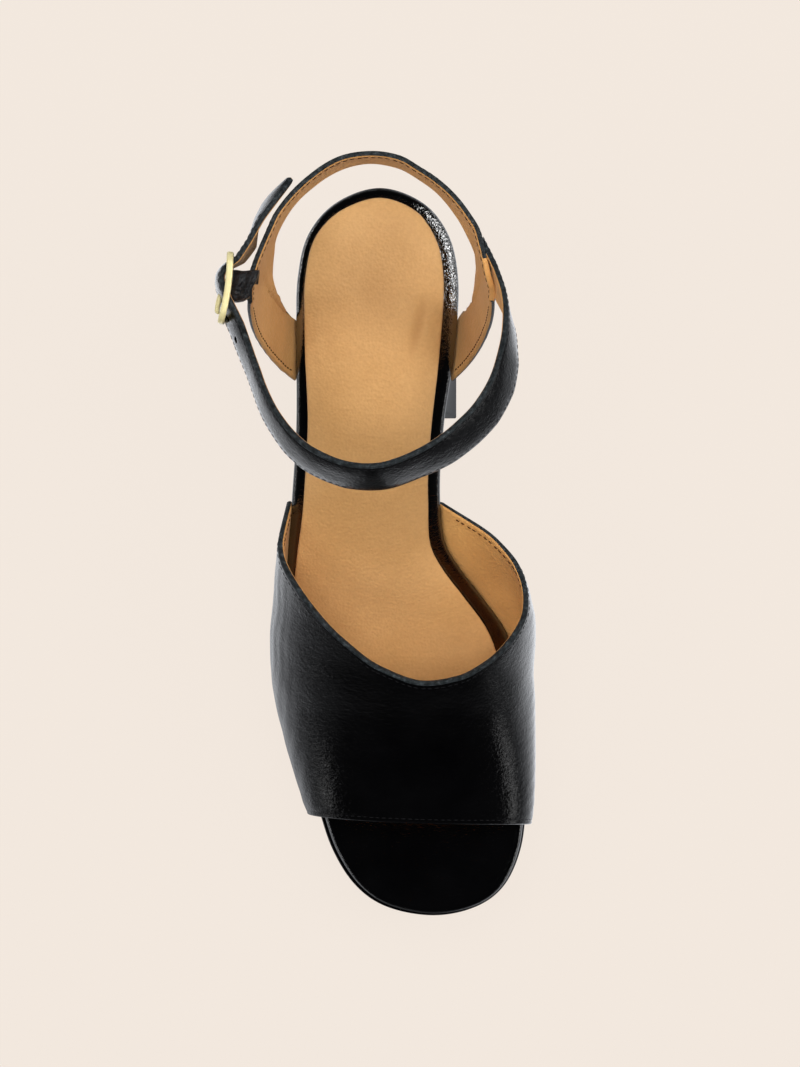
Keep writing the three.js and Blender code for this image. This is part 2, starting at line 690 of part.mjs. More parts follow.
// The ankle strap's inner face, as rows of points from its lower to its upper edge.
function ankleGrid() {
  const rows = ankleStations();
  const curve = new THREE.CatmullRomCurve3(rows.map((row) => row.point), false, 'centripetal');
  const last = rows.length - 1;
  const downs = rows.map((row, i) => {
    if (row.down) return row.down;
    const along = curve.getTangent(i / last);
    const lean = THREE.MathUtils.degToRad(row.lean);
    const down = new THREE.Vector3(-along.y, along.x, 0).normalize().multiplyScalar(Math.sin(lean));
    return down.setZ(-Math.cos(lean));
  });
  const substeps = 3;
  const levels = 3;
  const grid = [[], [], [], []];
  for (let j = 0; j <= substeps * last; j += 1) {
    const place = j / substeps;
    const low = Math.min(Math.floor(place), last - 1);
    const down = downs[low].clone().lerp(downs[low + 1], place - low).normalize();
    const past = Math.max(0, (place / last - (1 - tipLength)) / tipLength);
    const width = strapWidth * (1 - tipTaper * past);
    const point = curve.getPoint(place / last);
    for (let i = 0; i <= levels; i += 1) {
      grid[i].push(point.clone().addScaledVector(down, (width * (levels - i)) / levels));
    }
  }
  return grid;
}

// A spare hole, square through the strap at a distance in front of the prong.
function spareHole(inner, distance) {
  const middle = inner[0].map((low, j) => low.clone().lerp(inner[3][j], 0.5));
  const root = prongRoot.clone().applyMatrix4(bucklePlace);
  const nearer = (best, p, j) => (p.distanceTo(root) < middle[best].distanceTo(root) ? j : best);
  let place = middle.reduce(nearer, 0);
  let left = distance;
  while (left > 0) {
    left -= middle[place].distanceTo(middle[place - 1]);
    place -= 1;
  }
  const along = middle[place - 1].clone().sub(middle[place + 1]);
  const up = inner[3][place].clone().sub(inner[0][place]);
  const through = along.cross(up).normalize().multiplyScalar(2 * strapWall);
  return rod(middle[place].clone().add(through), middle[place].clone().sub(through), holeRadius);
}

function makeAnkleStrap() {
  const inner = ankleGrid();
  let strap = toManifold(walled(offsetGrid(inner, strapWall), inner));
  for (let i = 1; i <= spareHoles; i += 1) {
    strap = strap.subtract(toManifold(spareHole(inner, i * holePitch)));
  }
  const reach = new THREE.Vector3().subVectors(prongTip, prongRoot).normalize();
  const inside = prongRoot.clone().addScaledVector(reach, -0.5);
  const outside = prongTip.clone().addScaledVector(reach, -1.5);
  const cut = rod(inside, outside, prongRadius + gap).applyMatrix4(bucklePlace);
  return fromManifold(strap.subtract(toManifold(cut)));
}

const wasm = await Module();
wasm.setup();

function toManifold(geometry) {
  const bare = new THREE.BufferGeometry();
  bare.setAttribute('position', geometry.attributes.position.clone());
  if (geometry.index) bare.setIndex(geometry.index.clone());
  const merged = mergeVertices(bare, 1e-4);
  return new wasm.Manifold(new wasm.Mesh({
    numProp: 3,
    vertProperties: new Float32Array(merged.attributes.position.array),
    triVerts: new Uint32Array(merged.index.array),
  }));
}

function fromManifold(solid) {
  const mesh = solid.getMesh();
  const geometry = new THREE.BufferGeometry();
  geometry.setAttribute('position', new THREE.Float32BufferAttribute(mesh.vertProperties, 3));
  geometry.setIndex(new THREE.Uint32BufferAttribute(mesh.triVerts, 1));
  geometry.computeVertexNormals();
  return geometry;
}

// A round rod between two points of the buckle's frame.
function rod(from, to, radius, sides = 10) {
  const span = to.clone().sub(from);
  const geometry = new THREE.CylinderGeometry(radius, radius, span.length(), sides);
  const upward = new THREE.Vector3(0, 1, 0);
  const turn = new THREE.Quaternion().setFromUnitVectors(upward, span.clone().normalize());
  return geometry.applyQuaternion(turn).translate(
    (from.x + to.x) / 2,
    (from.y + to.y) / 2,
    (from.z + to.z) / 2,
  );
}

const bowAt = (x) => -buckleBow * (1 - (x / endBar) ** 2);

// Buckle frame: a round bar bent to a bowed rectangle, with the middle bar across it.
function makeBuckleFrame() {
  const half = buckleHeight / 2 - barRadius;
  const corner = buckleCorner - barRadius;
  const line = [];
  const centres = [[1, 1], [-1, 1], [-1, -1], [1, -1]];
  centres.forEach(([sx, sy], quarter) => {
    for (let i = 0; i <= 4; i += 1) {
      const angle = (Math.PI / 2) * (quarter + i / 4);
      const x = sx * (endBar - corner) + corner * Math.cos(angle);
      const y = sy * (half - corner) + corner * Math.sin(angle);
      line.push(new THREE.Vector3(x, y, bowAt(x)));
    }
    if (sy === 1 && sx === 1) for (const share of [0.5, 0, -0.5]) line.push(longBar(share, half, corner));
    if (sy === -1 && sx === -1) for (const share of [-0.5, 0, 0.5]) line.push(longBar(share, -half, corner));
  });
  const sides = 8;
  const rings = line.map((point, i) => {
    const next = line[(i + 1) % line.length];
    const before = line[(i + line.length - 1) % line.length];
    const along = next.clone().sub(before).normalize();
    const out = new THREE.Vector3(0, 0, 1);
    const across = new THREE.Vector3().crossVectors(along, out).normalize();
    const up = new THREE.Vector3().crossVectors(across, along);
    return Array.from({ length: sides }, (_, k) => {
      const angle = (2 * Math.PI * k) / sides;
      return point.clone()
        .addScaledVector(across, barRadius * Math.cos(angle))
        .addScaledVector(up, barRadius * Math.sin(angle));
    });
  });
  const triangles = [];
  rings.forEach((ring, i) => band(triangles, rings[(i + 1) % rings.length], ring));
  const foot = new THREE.Vector3(0, -half, -buckleBow);
  const head = new THREE.Vector3(0, half, -buckleBow);
  return toManifold(geometryOf(triangles)).add(toManifold(rod(foot, head, barRadius)));
}

function longBar(share, y, corner) {
  const x = share * (endBar - corner);
  return new THREE.Vector3(x, y, bowAt(x));
}

// Prong: a ring round the middle bar and a rod out through the strap, over the front bar.
const prongRing = barRadius + gap + prongRadius;
const prongRoot = new THREE.Vector3(prongRing * 0.6, 0, -buckleBow + prongRing * 0.75);
const prongTip = new THREE.Vector3(endBar, 0, barRadius + gap + prongRadius);
function makeProng() {
  const ring = new THREE.TorusGeometry(prongRing, prongRadius, 8, 16);
  ring.rotateX(Math.PI / 2).translate(0, 0, -buckleBow);
  const end = prongTip.clone().add(new THREE.Vector3(0.8, 0, -0.2));
  return toManifold(ring)
    .add(toManifold(rod(prongRoot, prongTip, prongRadius)))
    .add(toManifold(rod(prongTip.clone().lerp(prongRoot, 0.02), end, prongRadius)));
}

// How far out the lateral tab's face reaches behind the chape, in the buckle's own frame,
// near a place along the strap.
function tabFace(along) {
  const back = bucklePlace.clone().invert();
  const reach = 1.5; // of the band that is searched, to each side
  let face = -Infinity;
  for (let i = 0; i < 8; i += 1) {
    for (let j = 0; j <= 40; j += 1) {
      const a = quarterPoint(quarterRows[i], j / 40);
      const b = quarterPoint(quarterRows[i + 1], j / 40);
      for (const share of [0, 0.25, 0.5, 0.75]) {
        const local = a.clone().lerp(b, share).applyMatrix4(back);
        const high = local.y > -chapeDrop - chapeWidth;
        if (high && Math.abs(local.x - along) < reach) face = Math.max(face, local.z);
      }
    }
  }
  return face;
}

// Chape: a folded strap round the middle bar, split for the prong, that ends on the lateral tab.
function makeChape() {
  const onTab = (along) => new THREE.Vector2(along, -(tabFace(along) + gap) - buckleBow);
  const [rear, middle, front] = [-chapeBack, -(chapeBack + chapeFront) / 2, -chapeFront].map(onTab);
  const start = Math.asin(chapeWall / chapeRadius);
  const profile = new THREE.Shape();
  profile.moveTo(rear.x, rear.y);
  profile.absarc(0, 0, chapeRadius, Math.PI / 2 + start, Math.PI / 2 - start + Math.PI * 2, false);
  profile.lineTo(front.x, front.y);
  profile.lineTo(middle.x, middle.y);
  profile.closePath();
  const bore = new THREE.Path();
  bore.absarc(0, 0, barRadius + gap, 0, Math.PI * 2, true);
  profile.holes.push(bore);
  const options = { depth: chapeWidth, bevelEnabled: false, curveSegments: 10 };
  const solid = new THREE.ExtrudeGeometry(profile, options);
  solid.rotateX(-Math.PI / 2).translate(0, -chapeWidth / 2 - chapeDrop, -buckleBow);
  const slotDepth = 2 * chapeRadius + 2;
  const slot = new THREE.BoxGeometry(slotDepth, 2 * (prongRadius + gap), slotDepth);
  slot.translate(0, 0, -buckleBow);
  return toManifold(solid).subtract(toManifold(slot));
}

const finishes = {
  patent: { color: 0x0c0b0c, roughness: 0.25, metalness: 0 },
  tan: { color: 0xcb9a60, roughness: 0.6, metalness: 0 },
  rubber: { color: 0x161515, roughness: 0.8, metalness: 0 },
  gold: { color: 0xe6d08a, roughness: 0.3, metalness: 1 },
};

const sandal = new THREE.Group();
function addPiece(name, geometry, finish) {
  const mesh = new THREE.Mesh(geometry, new THREE.MeshStandardMaterial(finishes[finish]));
  mesh.name = name;
  sandal.add(mesh);
}

addPiece('outsole', makeOutsole(), 'rubber');
addPiece('platform', makePlatform(), 'patent');
addPiece('heel_block', makeHeel(), 'patent');
addPiece('top_piece', makeTopPiece(), 'rubber');
addPiece('footbed', makeFootbed(), 'patent');
addPiece('sock', makeSock(), 'tan');
addPiece('vamp', makeVamp(), 'patent');
addPiece('quarter_strap', makeQuarter(), 'patent');
addPiece('ankle_strap', makeAnkleStrap(), 'patent');
addPiece('buckle_chape', fromManifold(makeChape()).applyMatrix4(bucklePlace), 'patent');
addPiece('buckle_frame', fromManifold(makeBuckleFrame()).applyMatrix4(bucklePlace), 'gold');
addPiece('buckle_prong', fromManifold(makeProng()).applyMatrix4(bucklePlace), 'gold');

export default sandal;
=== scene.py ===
# Platform sandal, right shoe. Metres, +Z up, +Y to the heel, +X to the big-toe side.
import math
import random
from bisect import bisect_left

import bmesh
import bpy
from mathutils import Matrix, Vector, noise


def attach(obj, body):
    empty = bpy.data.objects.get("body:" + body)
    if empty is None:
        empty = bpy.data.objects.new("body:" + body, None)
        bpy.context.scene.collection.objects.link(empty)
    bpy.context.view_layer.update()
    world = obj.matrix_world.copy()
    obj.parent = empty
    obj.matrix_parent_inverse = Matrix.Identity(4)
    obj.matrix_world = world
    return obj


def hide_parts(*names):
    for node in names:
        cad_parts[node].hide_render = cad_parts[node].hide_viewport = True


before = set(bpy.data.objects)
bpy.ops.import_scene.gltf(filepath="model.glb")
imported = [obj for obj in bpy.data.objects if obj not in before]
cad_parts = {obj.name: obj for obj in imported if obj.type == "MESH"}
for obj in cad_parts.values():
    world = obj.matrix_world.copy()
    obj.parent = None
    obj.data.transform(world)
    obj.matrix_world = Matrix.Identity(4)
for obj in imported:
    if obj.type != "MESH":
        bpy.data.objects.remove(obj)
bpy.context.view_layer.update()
print("frame loaded:", len(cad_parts), "nodes")

mm = 0.001
gap = 0.3 * mm  # between pieces that meet


def table(columns, *rows):
    return [dict(zip(columns.split(), row)) for row in rows]


# The last: sizes that every piece is drawn from, close to the CAD part's
last = {
    "length": 233.6 * mm,
    "ball": 80 * mm,
    "seat": 51.6 * mm,
    "heelRise": 60.5 * mm,
    "spring": 6 * mm,
    "platform": 22 * mm,
    "outsole": 3 * mm,
    "board": 5 * mm,
    "backY": 39.5 * mm,
    "breastY": -30 * mm,
}
breastAt = (last["backY"] - last["breastY"]) / last["length"]

outlineRows = table(
    "at lateral medial",
    (0.021, -0.172, 0.18), (0.062, -0.276, 0.275), (0.119, -0.318, 0.314), (0.213, -0.324, 0.302),
    (0.319, -0.328, 0.259), (0.413, -0.349, 0.246), (0.477, -0.366, 0.268), (0.51, -0.374, 0.323),
    (0.555, -0.385, 0.424), (0.604, -0.392, 0.524), (0.681, -0.381, 0.588), (0.766, -0.32, 0.606),
    (0.851, -0.24, 0.599), (0.915, -0.174, 0.573), (0.962, -0.079, 0.506), (0.987, 0.03, 0.409),
)
heelTip = 0.006
toeTip = 0.235

footbedRows = table(
    "at climb spring",
    (0, 1, 0), (0.085, 0.962, 0), (0.191, 0.902, 0), (0.298, 0.777, 0), (0.404, 0.562, 0), (0.511, 0.316, 0),
    (0.596, 0.132, 0), (0.66, 0.042, 0), (0.723, 0.004, 0), (0.8, 0, 0), (0.894, 0, 0.27), (0.957, 0, 0.68),
    (1, 0, 1.08),
)
undersideRows = table(
    "at climb spring",
    (0.29, 1.035, 0), (0.404, 0.74, 0), (0.511, 0.32, 0), (0.562, 0.12, 0), (0.604, 0.022, 0), (0.638, 0, 0),
    (0.83, 0, 0), (0.894, 0, 0.33), (0.957, 0, 0.95), (1, 0, 1.55),
)


def mix(a, b, share):
    return a + (b - a) * share


def clamp(value, low=0.0, high=1.0):
    return min(max(value, low), high)


def smooth(value):
    t = clamp(value)
    return t * t * (3 - 2 * t)


# Reads a table's column at any place, as a curve that never overshoots its rows
def read(rows, column, place, key="at"):
    end = len(rows) - 1
    t = clamp(place, rows[0][key], rows[end][key])
    i = 0
    while i < end - 1 and rows[i + 1][key] < t:
        i += 1

    def slope(j):
        return (rows[j + 1][column] - rows[j][column]) / (rows[j + 1][key] - rows[j][key])

    def bend(j):
        if j <= 0:
            return slope(0)
        if j >= end:
            return slope(end - 1)
        before, after = slope(j - 1), slope(j)
        return 0 if before * after <= 0 else 2 * before * after / (before + after)

    span = rows[i + 1][key] - rows[i][key]
    s = (t - rows[i][key]) / span
    change = rows[i + 1][column] - rows[i][column]
    a, b = bend(i) * span, bend(i + 1) * span
    return rows[i][column] + s * a + s * s * (3 * change - 2 * a - b) + s * s * s * (a + b - 2 * change)


# The centripetal curve between p1 and p2
def curvePiece(p0, p1, p2, p3, s):
    d0 = max((p0 - p1).length ** 0.5, 1e-6)
    d1 = max((p1 - p2).length ** 0.5, 1e-6)
    d2 = max((p2 - p3).length ** 0.5, 1e-6)
    a = ((p1 - p0) / d0 - (p2 - p0) / (d0 + d1) + (p2 - p1) / d1) * d1
    b = ((p2 - p1) / d1 - (p3 - p1) / (d1 + d2) + (p3 - p2) / d2) * d1
    return p1 + a * s + (p2 * 3 - p1 * 3 - a * 2 - b) * s ** 2 + (a + b + p1 * 2 - p2 * 2) * s ** 3


# A point on the curve through count points, with t counted in points
def onCurve(pointAt, count, t, closed=False):
    i = int(math.floor(t))
    if not closed:
        i = min(max(i, 0), count - 2)

    def at(k):
        if closed:
            return pointAt(k % count)
        if k < 0:
            return pointAt(0) * 2 - pointAt(1)
        if k >= count:
            return pointAt(count - 1) * 2 - pointAt(count - 2)
        return pointAt(k)

    return curvePiece(at(i - 1), at(i), at(i + 1), at(i + 2), t - i)


def soleSides():
    def point(share, at):
        return Vector((share * last["ball"], at * last["length"], 0))

    lateral = [point(row["lateral"], row["at"]) for row in outlineRows]
    medial = [point(row["medial"], row["at"]) for row in outlineRows]
    loop = [point(heelTip, 0), *lateral, point(toeTip, 1), *reversed(medial)]
    fine = [onCurve(loop.__getitem__, len(loop), k / 24, closed=True) for k in range(len(loop) * 24 + 1)]
    turn = max(range(len(fine)), key=lambda k: fine[k].y)
    return {"lateral": fine[:turn + 1], "medial": fine[turn:][::-1]}


sides = soleSides()
sideHeights = {side: [p.y for p in line] for side, line in sides.items()}


# X of one side of the sole at a share of its length
def edgeX(side, at):
    line = sides[side]
    wanted = clamp(at, 0, 1) * last["length"]
    i = min(max(bisect_left(sideHeights[side], wanted), 1), len(line) - 1)
    step = line[i].y - line[i - 1].y
    share = clamp((wanted - line[i - 1].y) / step) if step > 1e-12 else 1
    return mix(line[i - 1].x, line[i].x, share)


def atOf(y):
    return (last["backY"] - y) / last["length"]


def footbedUnder(y):
    at = atOf(y)
    low = last["outsole"] + last["platform"] + read(footbedRows, "climb", at) * last["heelRise"]
    return low + read(footbedRows, "spring", at) * last["spring"]


def footbedTop(y):
    return footbedUnder(y) + last["board"]


def platformUnder(y):
    at = atOf(y)
    climb = read(undersideRows, "climb", at) * last["heelRise"]
    return last["outsole"] + climb + read(undersideRows, "spring", at) * last["spring"]


def stations(start, end, count, roundStart, roundEnd):
    shares = []
    for i in range(count + 1):
        t = i / count
        if roundStart and roundEnd:
            t = (1 - math.cos(math.pi * t)) / 2
        elif roundStart:
            t = 1 - math.cos(math.pi / 2 * t)
        elif roundEnd:
            t = math.sin(math.pi / 2 * t)
        shares.append(mix(start, end, t))
    return shares


# Plan points round part of the sole, down the lateral side and back up the medial.
# Each is (x, y, spine x, spine y, at, side, straight).
def planRing(ats):
    first, final = ats[0], ats[-1]
    turn = 0.09

    def make(side, at):
        middle = clamp(at, first + turn, final - turn)
        straight = (at == first and first > 0.001) or (at == final and final < 0.999)
        spineX = (edgeX("lateral", middle) + edgeX("medial", middle)) / 2
        spineY = last["backY"] - middle * last["length"]
        return (edgeX(side, at), last["backY"] - at * last["length"], spineX, spineY, at, side, straight)

    ring = [make("lateral", at) for at in ats]
    back = [make("medial", at) for at in reversed(ats)]
    if final > 0.999:
        back = back[1:]
    if first < 0.001:
        back = back[:-1]
    return ring + back


def insetPoint(p, lateral, medial):
    x, y, spineX, spineY, at, side, straight = p
    dx = spineX - x
    dy = 0 if straight else spineY - y
    length = math.hypot(dx, dy)
    share = clamp((x - spineX) / last["seat"] + 0.5)
    inset = min(mix(lateral, medial, share), length * 0.9)
    return (x + dx / length * inset, y + dy / length * inset, spineX, spineY, at, side, straight)


def towardsSpine(p, share):
    return (mix(p[0], p[2], share), mix(p[1], p[3], share), *p[2:])


# A mesh sheet: a grid whose two ways run from 0 to 1, every point moved to place(u, v)
def sheetMesh(across, along, place):
    bm = bmesh.new()
    bm.loops.layers.uv.new("UVMap")
    bmesh.ops.create_grid(bm, x_segments=across, y_segments=along, size=1, calc_uvs=True)
    for vert in bm.verts:
        vert.co = place((vert.co.x + 1) / 2, (vert.co.y + 1) / 2)
    return bm


# A closed body from a ring of plan points: rows give each ring's point for a plan point
def stackMesh(ring, rows):
    count = len(ring)
    levels = len(rows) - 1

    def place(u, v):
        p = ring[int(round(u * count)) % count]
        return rows[int(round(v * levels))](p)

    bm = sheetMesh(count, levels, place)
    bmesh.ops.remove_doubles(bm, verts=bm.verts, dist=1e-6)
    bmesh.ops.recalc_face_normals(bm, faces=bm.faces)
    return bm


def addPiece(bm, name, materials, replaces=()):
    mesh = bpy.data.meshes.new(name)
    bm.to_mesh(mesh)
    bm.free()
    for material in materials:
        mesh.materials.append(material)
    mesh.polygons.foreach_set("use_smooth", [True] * len(mesh.polygons))
    piece = bpy.data.objects.new(name, mesh)
    bpy.context.scene.collection.objects.link(piece)
    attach(piece, "root")
    if replaces:
        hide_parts(*replaces)
    return piece


def addRounding(piece, width, segments=3, angle=45):
    rounding = piece.modifiers.new("Rounding", "BEVEL")
    rounding.width = width
    rounding.segments = segments
    rounding.limit_method = "ANGLE"
    rounding.angle_limit = math.radians(angle)
    return rounding


# A leather wall's edge: steps round it, fullness, where its ends are stepped, and the
# shares of the wall that the paint covers and that a bare seam counts as edge, which sets
# the painted shade on the seam's lining
leatherRim = {"turn": 8, "bulge": 1.6, "ends": [0, 0.04, 0.16, 0.36, 0.64, 1], "painted": 0.6, "seam": 0.5}


# A piece of leather as one closed wall: place(u, v) is its outer face and sign points
# out of it. All edges are rounded. Materials: outside, lining, painted edge.
def addLeather(name, place, sign, leather, materials, node):
    wall, levels = leather["wall"], leather["levels"]
    turn, bulge, ends, painted = (leatherRim[key] for key in ("turn", "bulge", "ends", "painted"))
    middle = [place(k / 40, 0.5) for k in range(41)]
    whole = sum((b - a).length for a, b in zip(middle, middle[1:]))
    near = [leather.get("endRound", wall / 2) * share / whole for share in ends]
    inner = leather["along"]
    us = near + [mix(near[-1], 1 - near[-1], k / inner) for k in range(1, inner)] + [1 - u for u in reversed(near)]
    fades = ends + [1] * (inner - 1) + ends[::-1]

    columns = []
    for u in us:
        width = (place(u, 1) - place(u, 0)).length
        border = min(wall / 2 / max(width, wall), 0.3)
        vs = [0] + [mix(border, 1 - border, k / levels) for k in range(levels + 1)] + [1]
        columns.append(([place(u, v) for v in vs], vs, width))

    def normal(i, k):
        a, b = max(i - 1, 0), min(i + 1, len(us) - 1)
        if i < len(ends):
            a, b = 0, len(ends)
        elif i > len(us) - 1 - len(ends):
            a, b = len(us) - 1 - len(ends), len(us) - 1
        low, high = max(k - 1, 0), min(k + 1, levels + 2)
        along = columns[b][0][k] - columns[a][0][k]
        over = columns[i][0][high] - columns[i][0][low]
        return along.cross(over).normalized() * sign

    around = [(k + 1, 0.0) for k in range(levels + 1)]
    for k in range(1, turn):
        angle = math.pi * k / turn
        around.append((levels + 1 + math.sin(angle) ** (1 / bulge), angle))
    around += [(levels + 1 - k, math.pi) for k in range(levels + 1)]
    for k in range(1, turn):
        angle = math.pi * (1 - k / turn)
        around.append((1 - math.sin(angle) ** (1 / bulge), angle))

    normals = [[normal(i, k) for k in range(levels + 3)] for i in range(len(us))]
    count = len(around)

    def locate(u, v):
        i = int(round(u * (len(us) - 1)))
        row, angle = around[int(round(v * count)) % count]
        low = min(int(row), levels + 1)
        share = row - low
        points, vs, width = columns[i]
        point = points[low].lerp(points[low + 1], share)
        out = normals[i][low].lerp(normals[i][low + 1], share).normalized()
        across = math.cos(angle)
        depth = wall / 2 * (1 - math.copysign(abs(across) ** (1 / bulge), across) * math.sqrt(fades[i]))
        height = mix(vs[low], vs[low + 1], share)
        inside = max(0, depth - wall * painted)
        return point - out * depth, min(height, 1 - height) * width + (inside if depth < wall else wall)

    bm = sheetMesh(len(us) - 1, count, lambda u, v: locate(u, v)[0])
    edge = bm.verts.layers.float.new("edge")
    bm.verts.ensure_lookup_table()
    uvs = bm.loops.layers.uv.active
    for face in bm.faces:
        middleU = sum(loop[uvs].uv.x for loop in face.loops) / len(face.loops) * (len(us) - 1)
        middleV = int(sum(loop[uvs].uv.y for loop in face.loops) / len(face.loops) * count)
        first, second = around[middleV % count][1], around[(middleV + 1) % count][1]
        atEnd = middleU < len(ends) - 1 or middleU > len(us) - len(ends)
        bare = leather.get("bare", (2, 2))
        upper = middleV < levels + 1 + turn
        sewnOn = upper and bare[0] < middleU / (len(us) - 1) < bare[1]
        if first + second > painted * 2 * math.pi:
            face.material_index = 1
        elif first + second > 0 or atEnd:
            face.material_index = 1 if sewnOn and first + second > 0 else 2
        if leather.get("folded") and upper and first + second > 0:
            face.material_index = 0
        for loop in face.loops:
            # A bare seam strip takes a fixed edge distance, which sets the painted shade on its lining
            loop.vert[edge] = leatherRim["seam"] * wall if sewnOn else locate(*loop[uvs].uv)[1]
    bmesh.ops.remove_doubles(bm, verts=bm.verts, dist=2e-6)
    bmesh.ops.recalc_face_normals(bm, faces=bm.faces)
    return addPiece(bm, name, materials, [node])


def applyModifiers(piece):
    bpy.context.view_layer.update()
    graph = bpy.context.evaluated_depsgraph_get()
    mesh = bpy.data.meshes.new_from_object(piece.evaluated_get(graph), depsgraph=graph)
    piece.modifiers.clear()
    piece.data = mesh


# Finishes
def newMaterial(name):
    material = bpy.data.materials.new(name)
    material.use_nodes = True
    tree = material.node_tree
    return material, tree, tree.nodes["Principled BSDF"]


def link(tree, source, target):
    tree.links.new(source, target)


def objectCoords(tree, scale=(1, 1, 1), turn=(0, 0, 0)):
    coords = tree.nodes.new("ShaderNodeTexCoord")
    mapping = tree.nodes.new("ShaderNodeMapping")
    mapping.inputs["Scale"].default_value = scale
    mapping.inputs["Rotation"].default_value = [math.radians(v) for v in turn]
    link(tree, coords.outputs["Object"], mapping.inputs["Vector"])
    return mapping.outputs["Vector"]


def noiseOf(tree, vector, scale, detail=4, roughness=0.55, distortion=0.0):
    node = tree.nodes.new("ShaderNodeTexNoise")
    node.inputs["Scale"].default_value = scale
    node.inputs["Detail"].default_value = detail
    node.inputs["Roughness"].default_value = roughness
    node.inputs["Distortion"].default_value = distortion
    link(tree, vector, node.inputs["Vector"])
    return node.outputs["Fac"]


def cellsOf(tree, vector, scale, feature="F1", smoothness=0.4):
    node = tree.nodes.new("ShaderNodeTexVoronoi")
    node.feature = feature
    node.inputs["Scale"].default_value = scale
    if feature == "SMOOTH_F1":
        node.inputs["Smoothness"].default_value = smoothness
    link(tree, vector, node.inputs["Vector"])
    return node.outputs["Distance"]


def rampOf(tree, value, *stops):
    node = tree.nodes.new("ShaderNodeValToRGB")
    ramp = node.color_ramp
    while len(ramp.elements) < len(stops):
        ramp.elements.new(0.5)
    for element, (place, color) in zip(ramp.elements, stops):
        element.position = place
        element.color = color if len(color) == 4 else (*color, 1)
    link(tree, value, node.inputs["Fac"])
    return node.outputs["Color"]


def mixColor(tree, share, a, b, blend="MIX"):
    node = tree.nodes.new("ShaderNodeMix")
    node.data_type = "RGBA"
    node.blend_type = blend
    for socket, value in (("Factor", share), ("A", a), ("B", b)):
        target = node.inputs[{"Factor": 0, "A": 6, "B": 7}[socket]]
        if isinstance(value, (int, float, tuple)):
            target.default_value = value if socket == "Factor" else (*value, 1)
        else:
            link(tree, value, target)
    return node.outputs[2]


def bumpOf(tree, height, distance, strength=1.0, normal=None):
    node = tree.nodes.new("ShaderNodeBump")
    node.inputs["Strength"].default_value = strength
    node.inputs["Distance"].default_value = distance
    link(tree, height, node.inputs["Height"])
    if normal:
        link(tree, normal, node.inputs["Normal"])
    return node.outputs["Normal"]


def edgeShare(tree, reach):
    node = tree.nodes.new("ShaderNodeAttribute")
    node.attribute_name = "edge"
    scaled = tree.nodes.new("ShaderNodeMath")
    scaled.operation = "DIVIDE"
    scaled.inputs[1].default_value = reach
    link(tree, node.outputs["Fac"], scaled.inputs[0])
    return scaled.outputs[0]


# Crinkle and gloss are strongest round the heel, most of all on the medial side
def heelShare(tree, front, lateral):
    parts = tree.nodes.new("ShaderNodeSeparateXYZ")
    link(tree, objectCoords(tree, (10, 10, 10)), parts.inputs["Vector"])
    shift = tree.nodes.new("ShaderNodeMath")
    shift.operation = "ADD"
    shift.inputs[1].default_value = 0.6
    link(tree, parts.outputs["Y"], shift.inputs[0])
    along = rampOf(tree, shift.outputs[0], (0.42, (front,) * 3), (0.6, (1, 1, 1)))
    across = rampOf(tree, parts.outputs["X"], (0.1, (lateral,) * 3), (0.19, (1, 1, 1)))
    return mixColor(tree, 1.0, along, across, "MULTIPLY")


def patentLeather(name, crinkle, gloss=1.36, fine=1.0, roughness=0.06, coat=1.0, sparkle=0.0):
    material, tree, shader = newMaterial(name)
    vector = objectCoords(tree)
    tone = rampOf(tree, noiseOf(tree, vector, 60), (0.3, (0.0008, 0.0008, 0.001)), (0.75, (0.002, 0.002, 0.0023)))
    link(tree, tone, shader.inputs["Base Color"])
    soft = noiseOf(tree, vector, 90, 3, 0.5)
    folds = noiseOf(tree, objectCoords(tree, (0.7, 1.8, 1.5), (0, 0, 12)), 480 * fine, 5, 0.6, 0.9)
    cells = cellsOf(tree, vector, 1150 * fine, "SMOOTH_F1")
    normal = bumpOf(tree, soft, 0.0008, 0.35 * crinkle)
    normal = bumpOf(tree, folds, 0.00022, crinkle, normal)
    normal = bumpOf(tree, cells, 0.0001, 0.8 * crinkle, normal)
    if sparkle:
        crackle = noiseOf(tree, vector, 950, 1.5, 0.5, 1.5)
        normal = bumpOf(tree, crackle, sparkle, 1.0, normal)
        link(tree, heelShare(tree, 0.1, 0.08), normal.node.inputs["Strength"])
        link(tree, heelShare(tree, 0.45, 1.0), shader.inputs["Coat Weight"])
    link(tree, normal, shader.inputs["Normal"])
    link(tree, normal, shader.inputs["Coat Normal"])
    shader.inputs["Roughness"].default_value = 0.3
    shader.inputs["Specular IOR Level"].default_value = 0.05
    shader.inputs["Coat Weight"].default_value = coat
    shader.inputs["Coat IOR"].default_value = gloss
    shader.inputs["Coat Roughness"].default_value = roughness
    return material


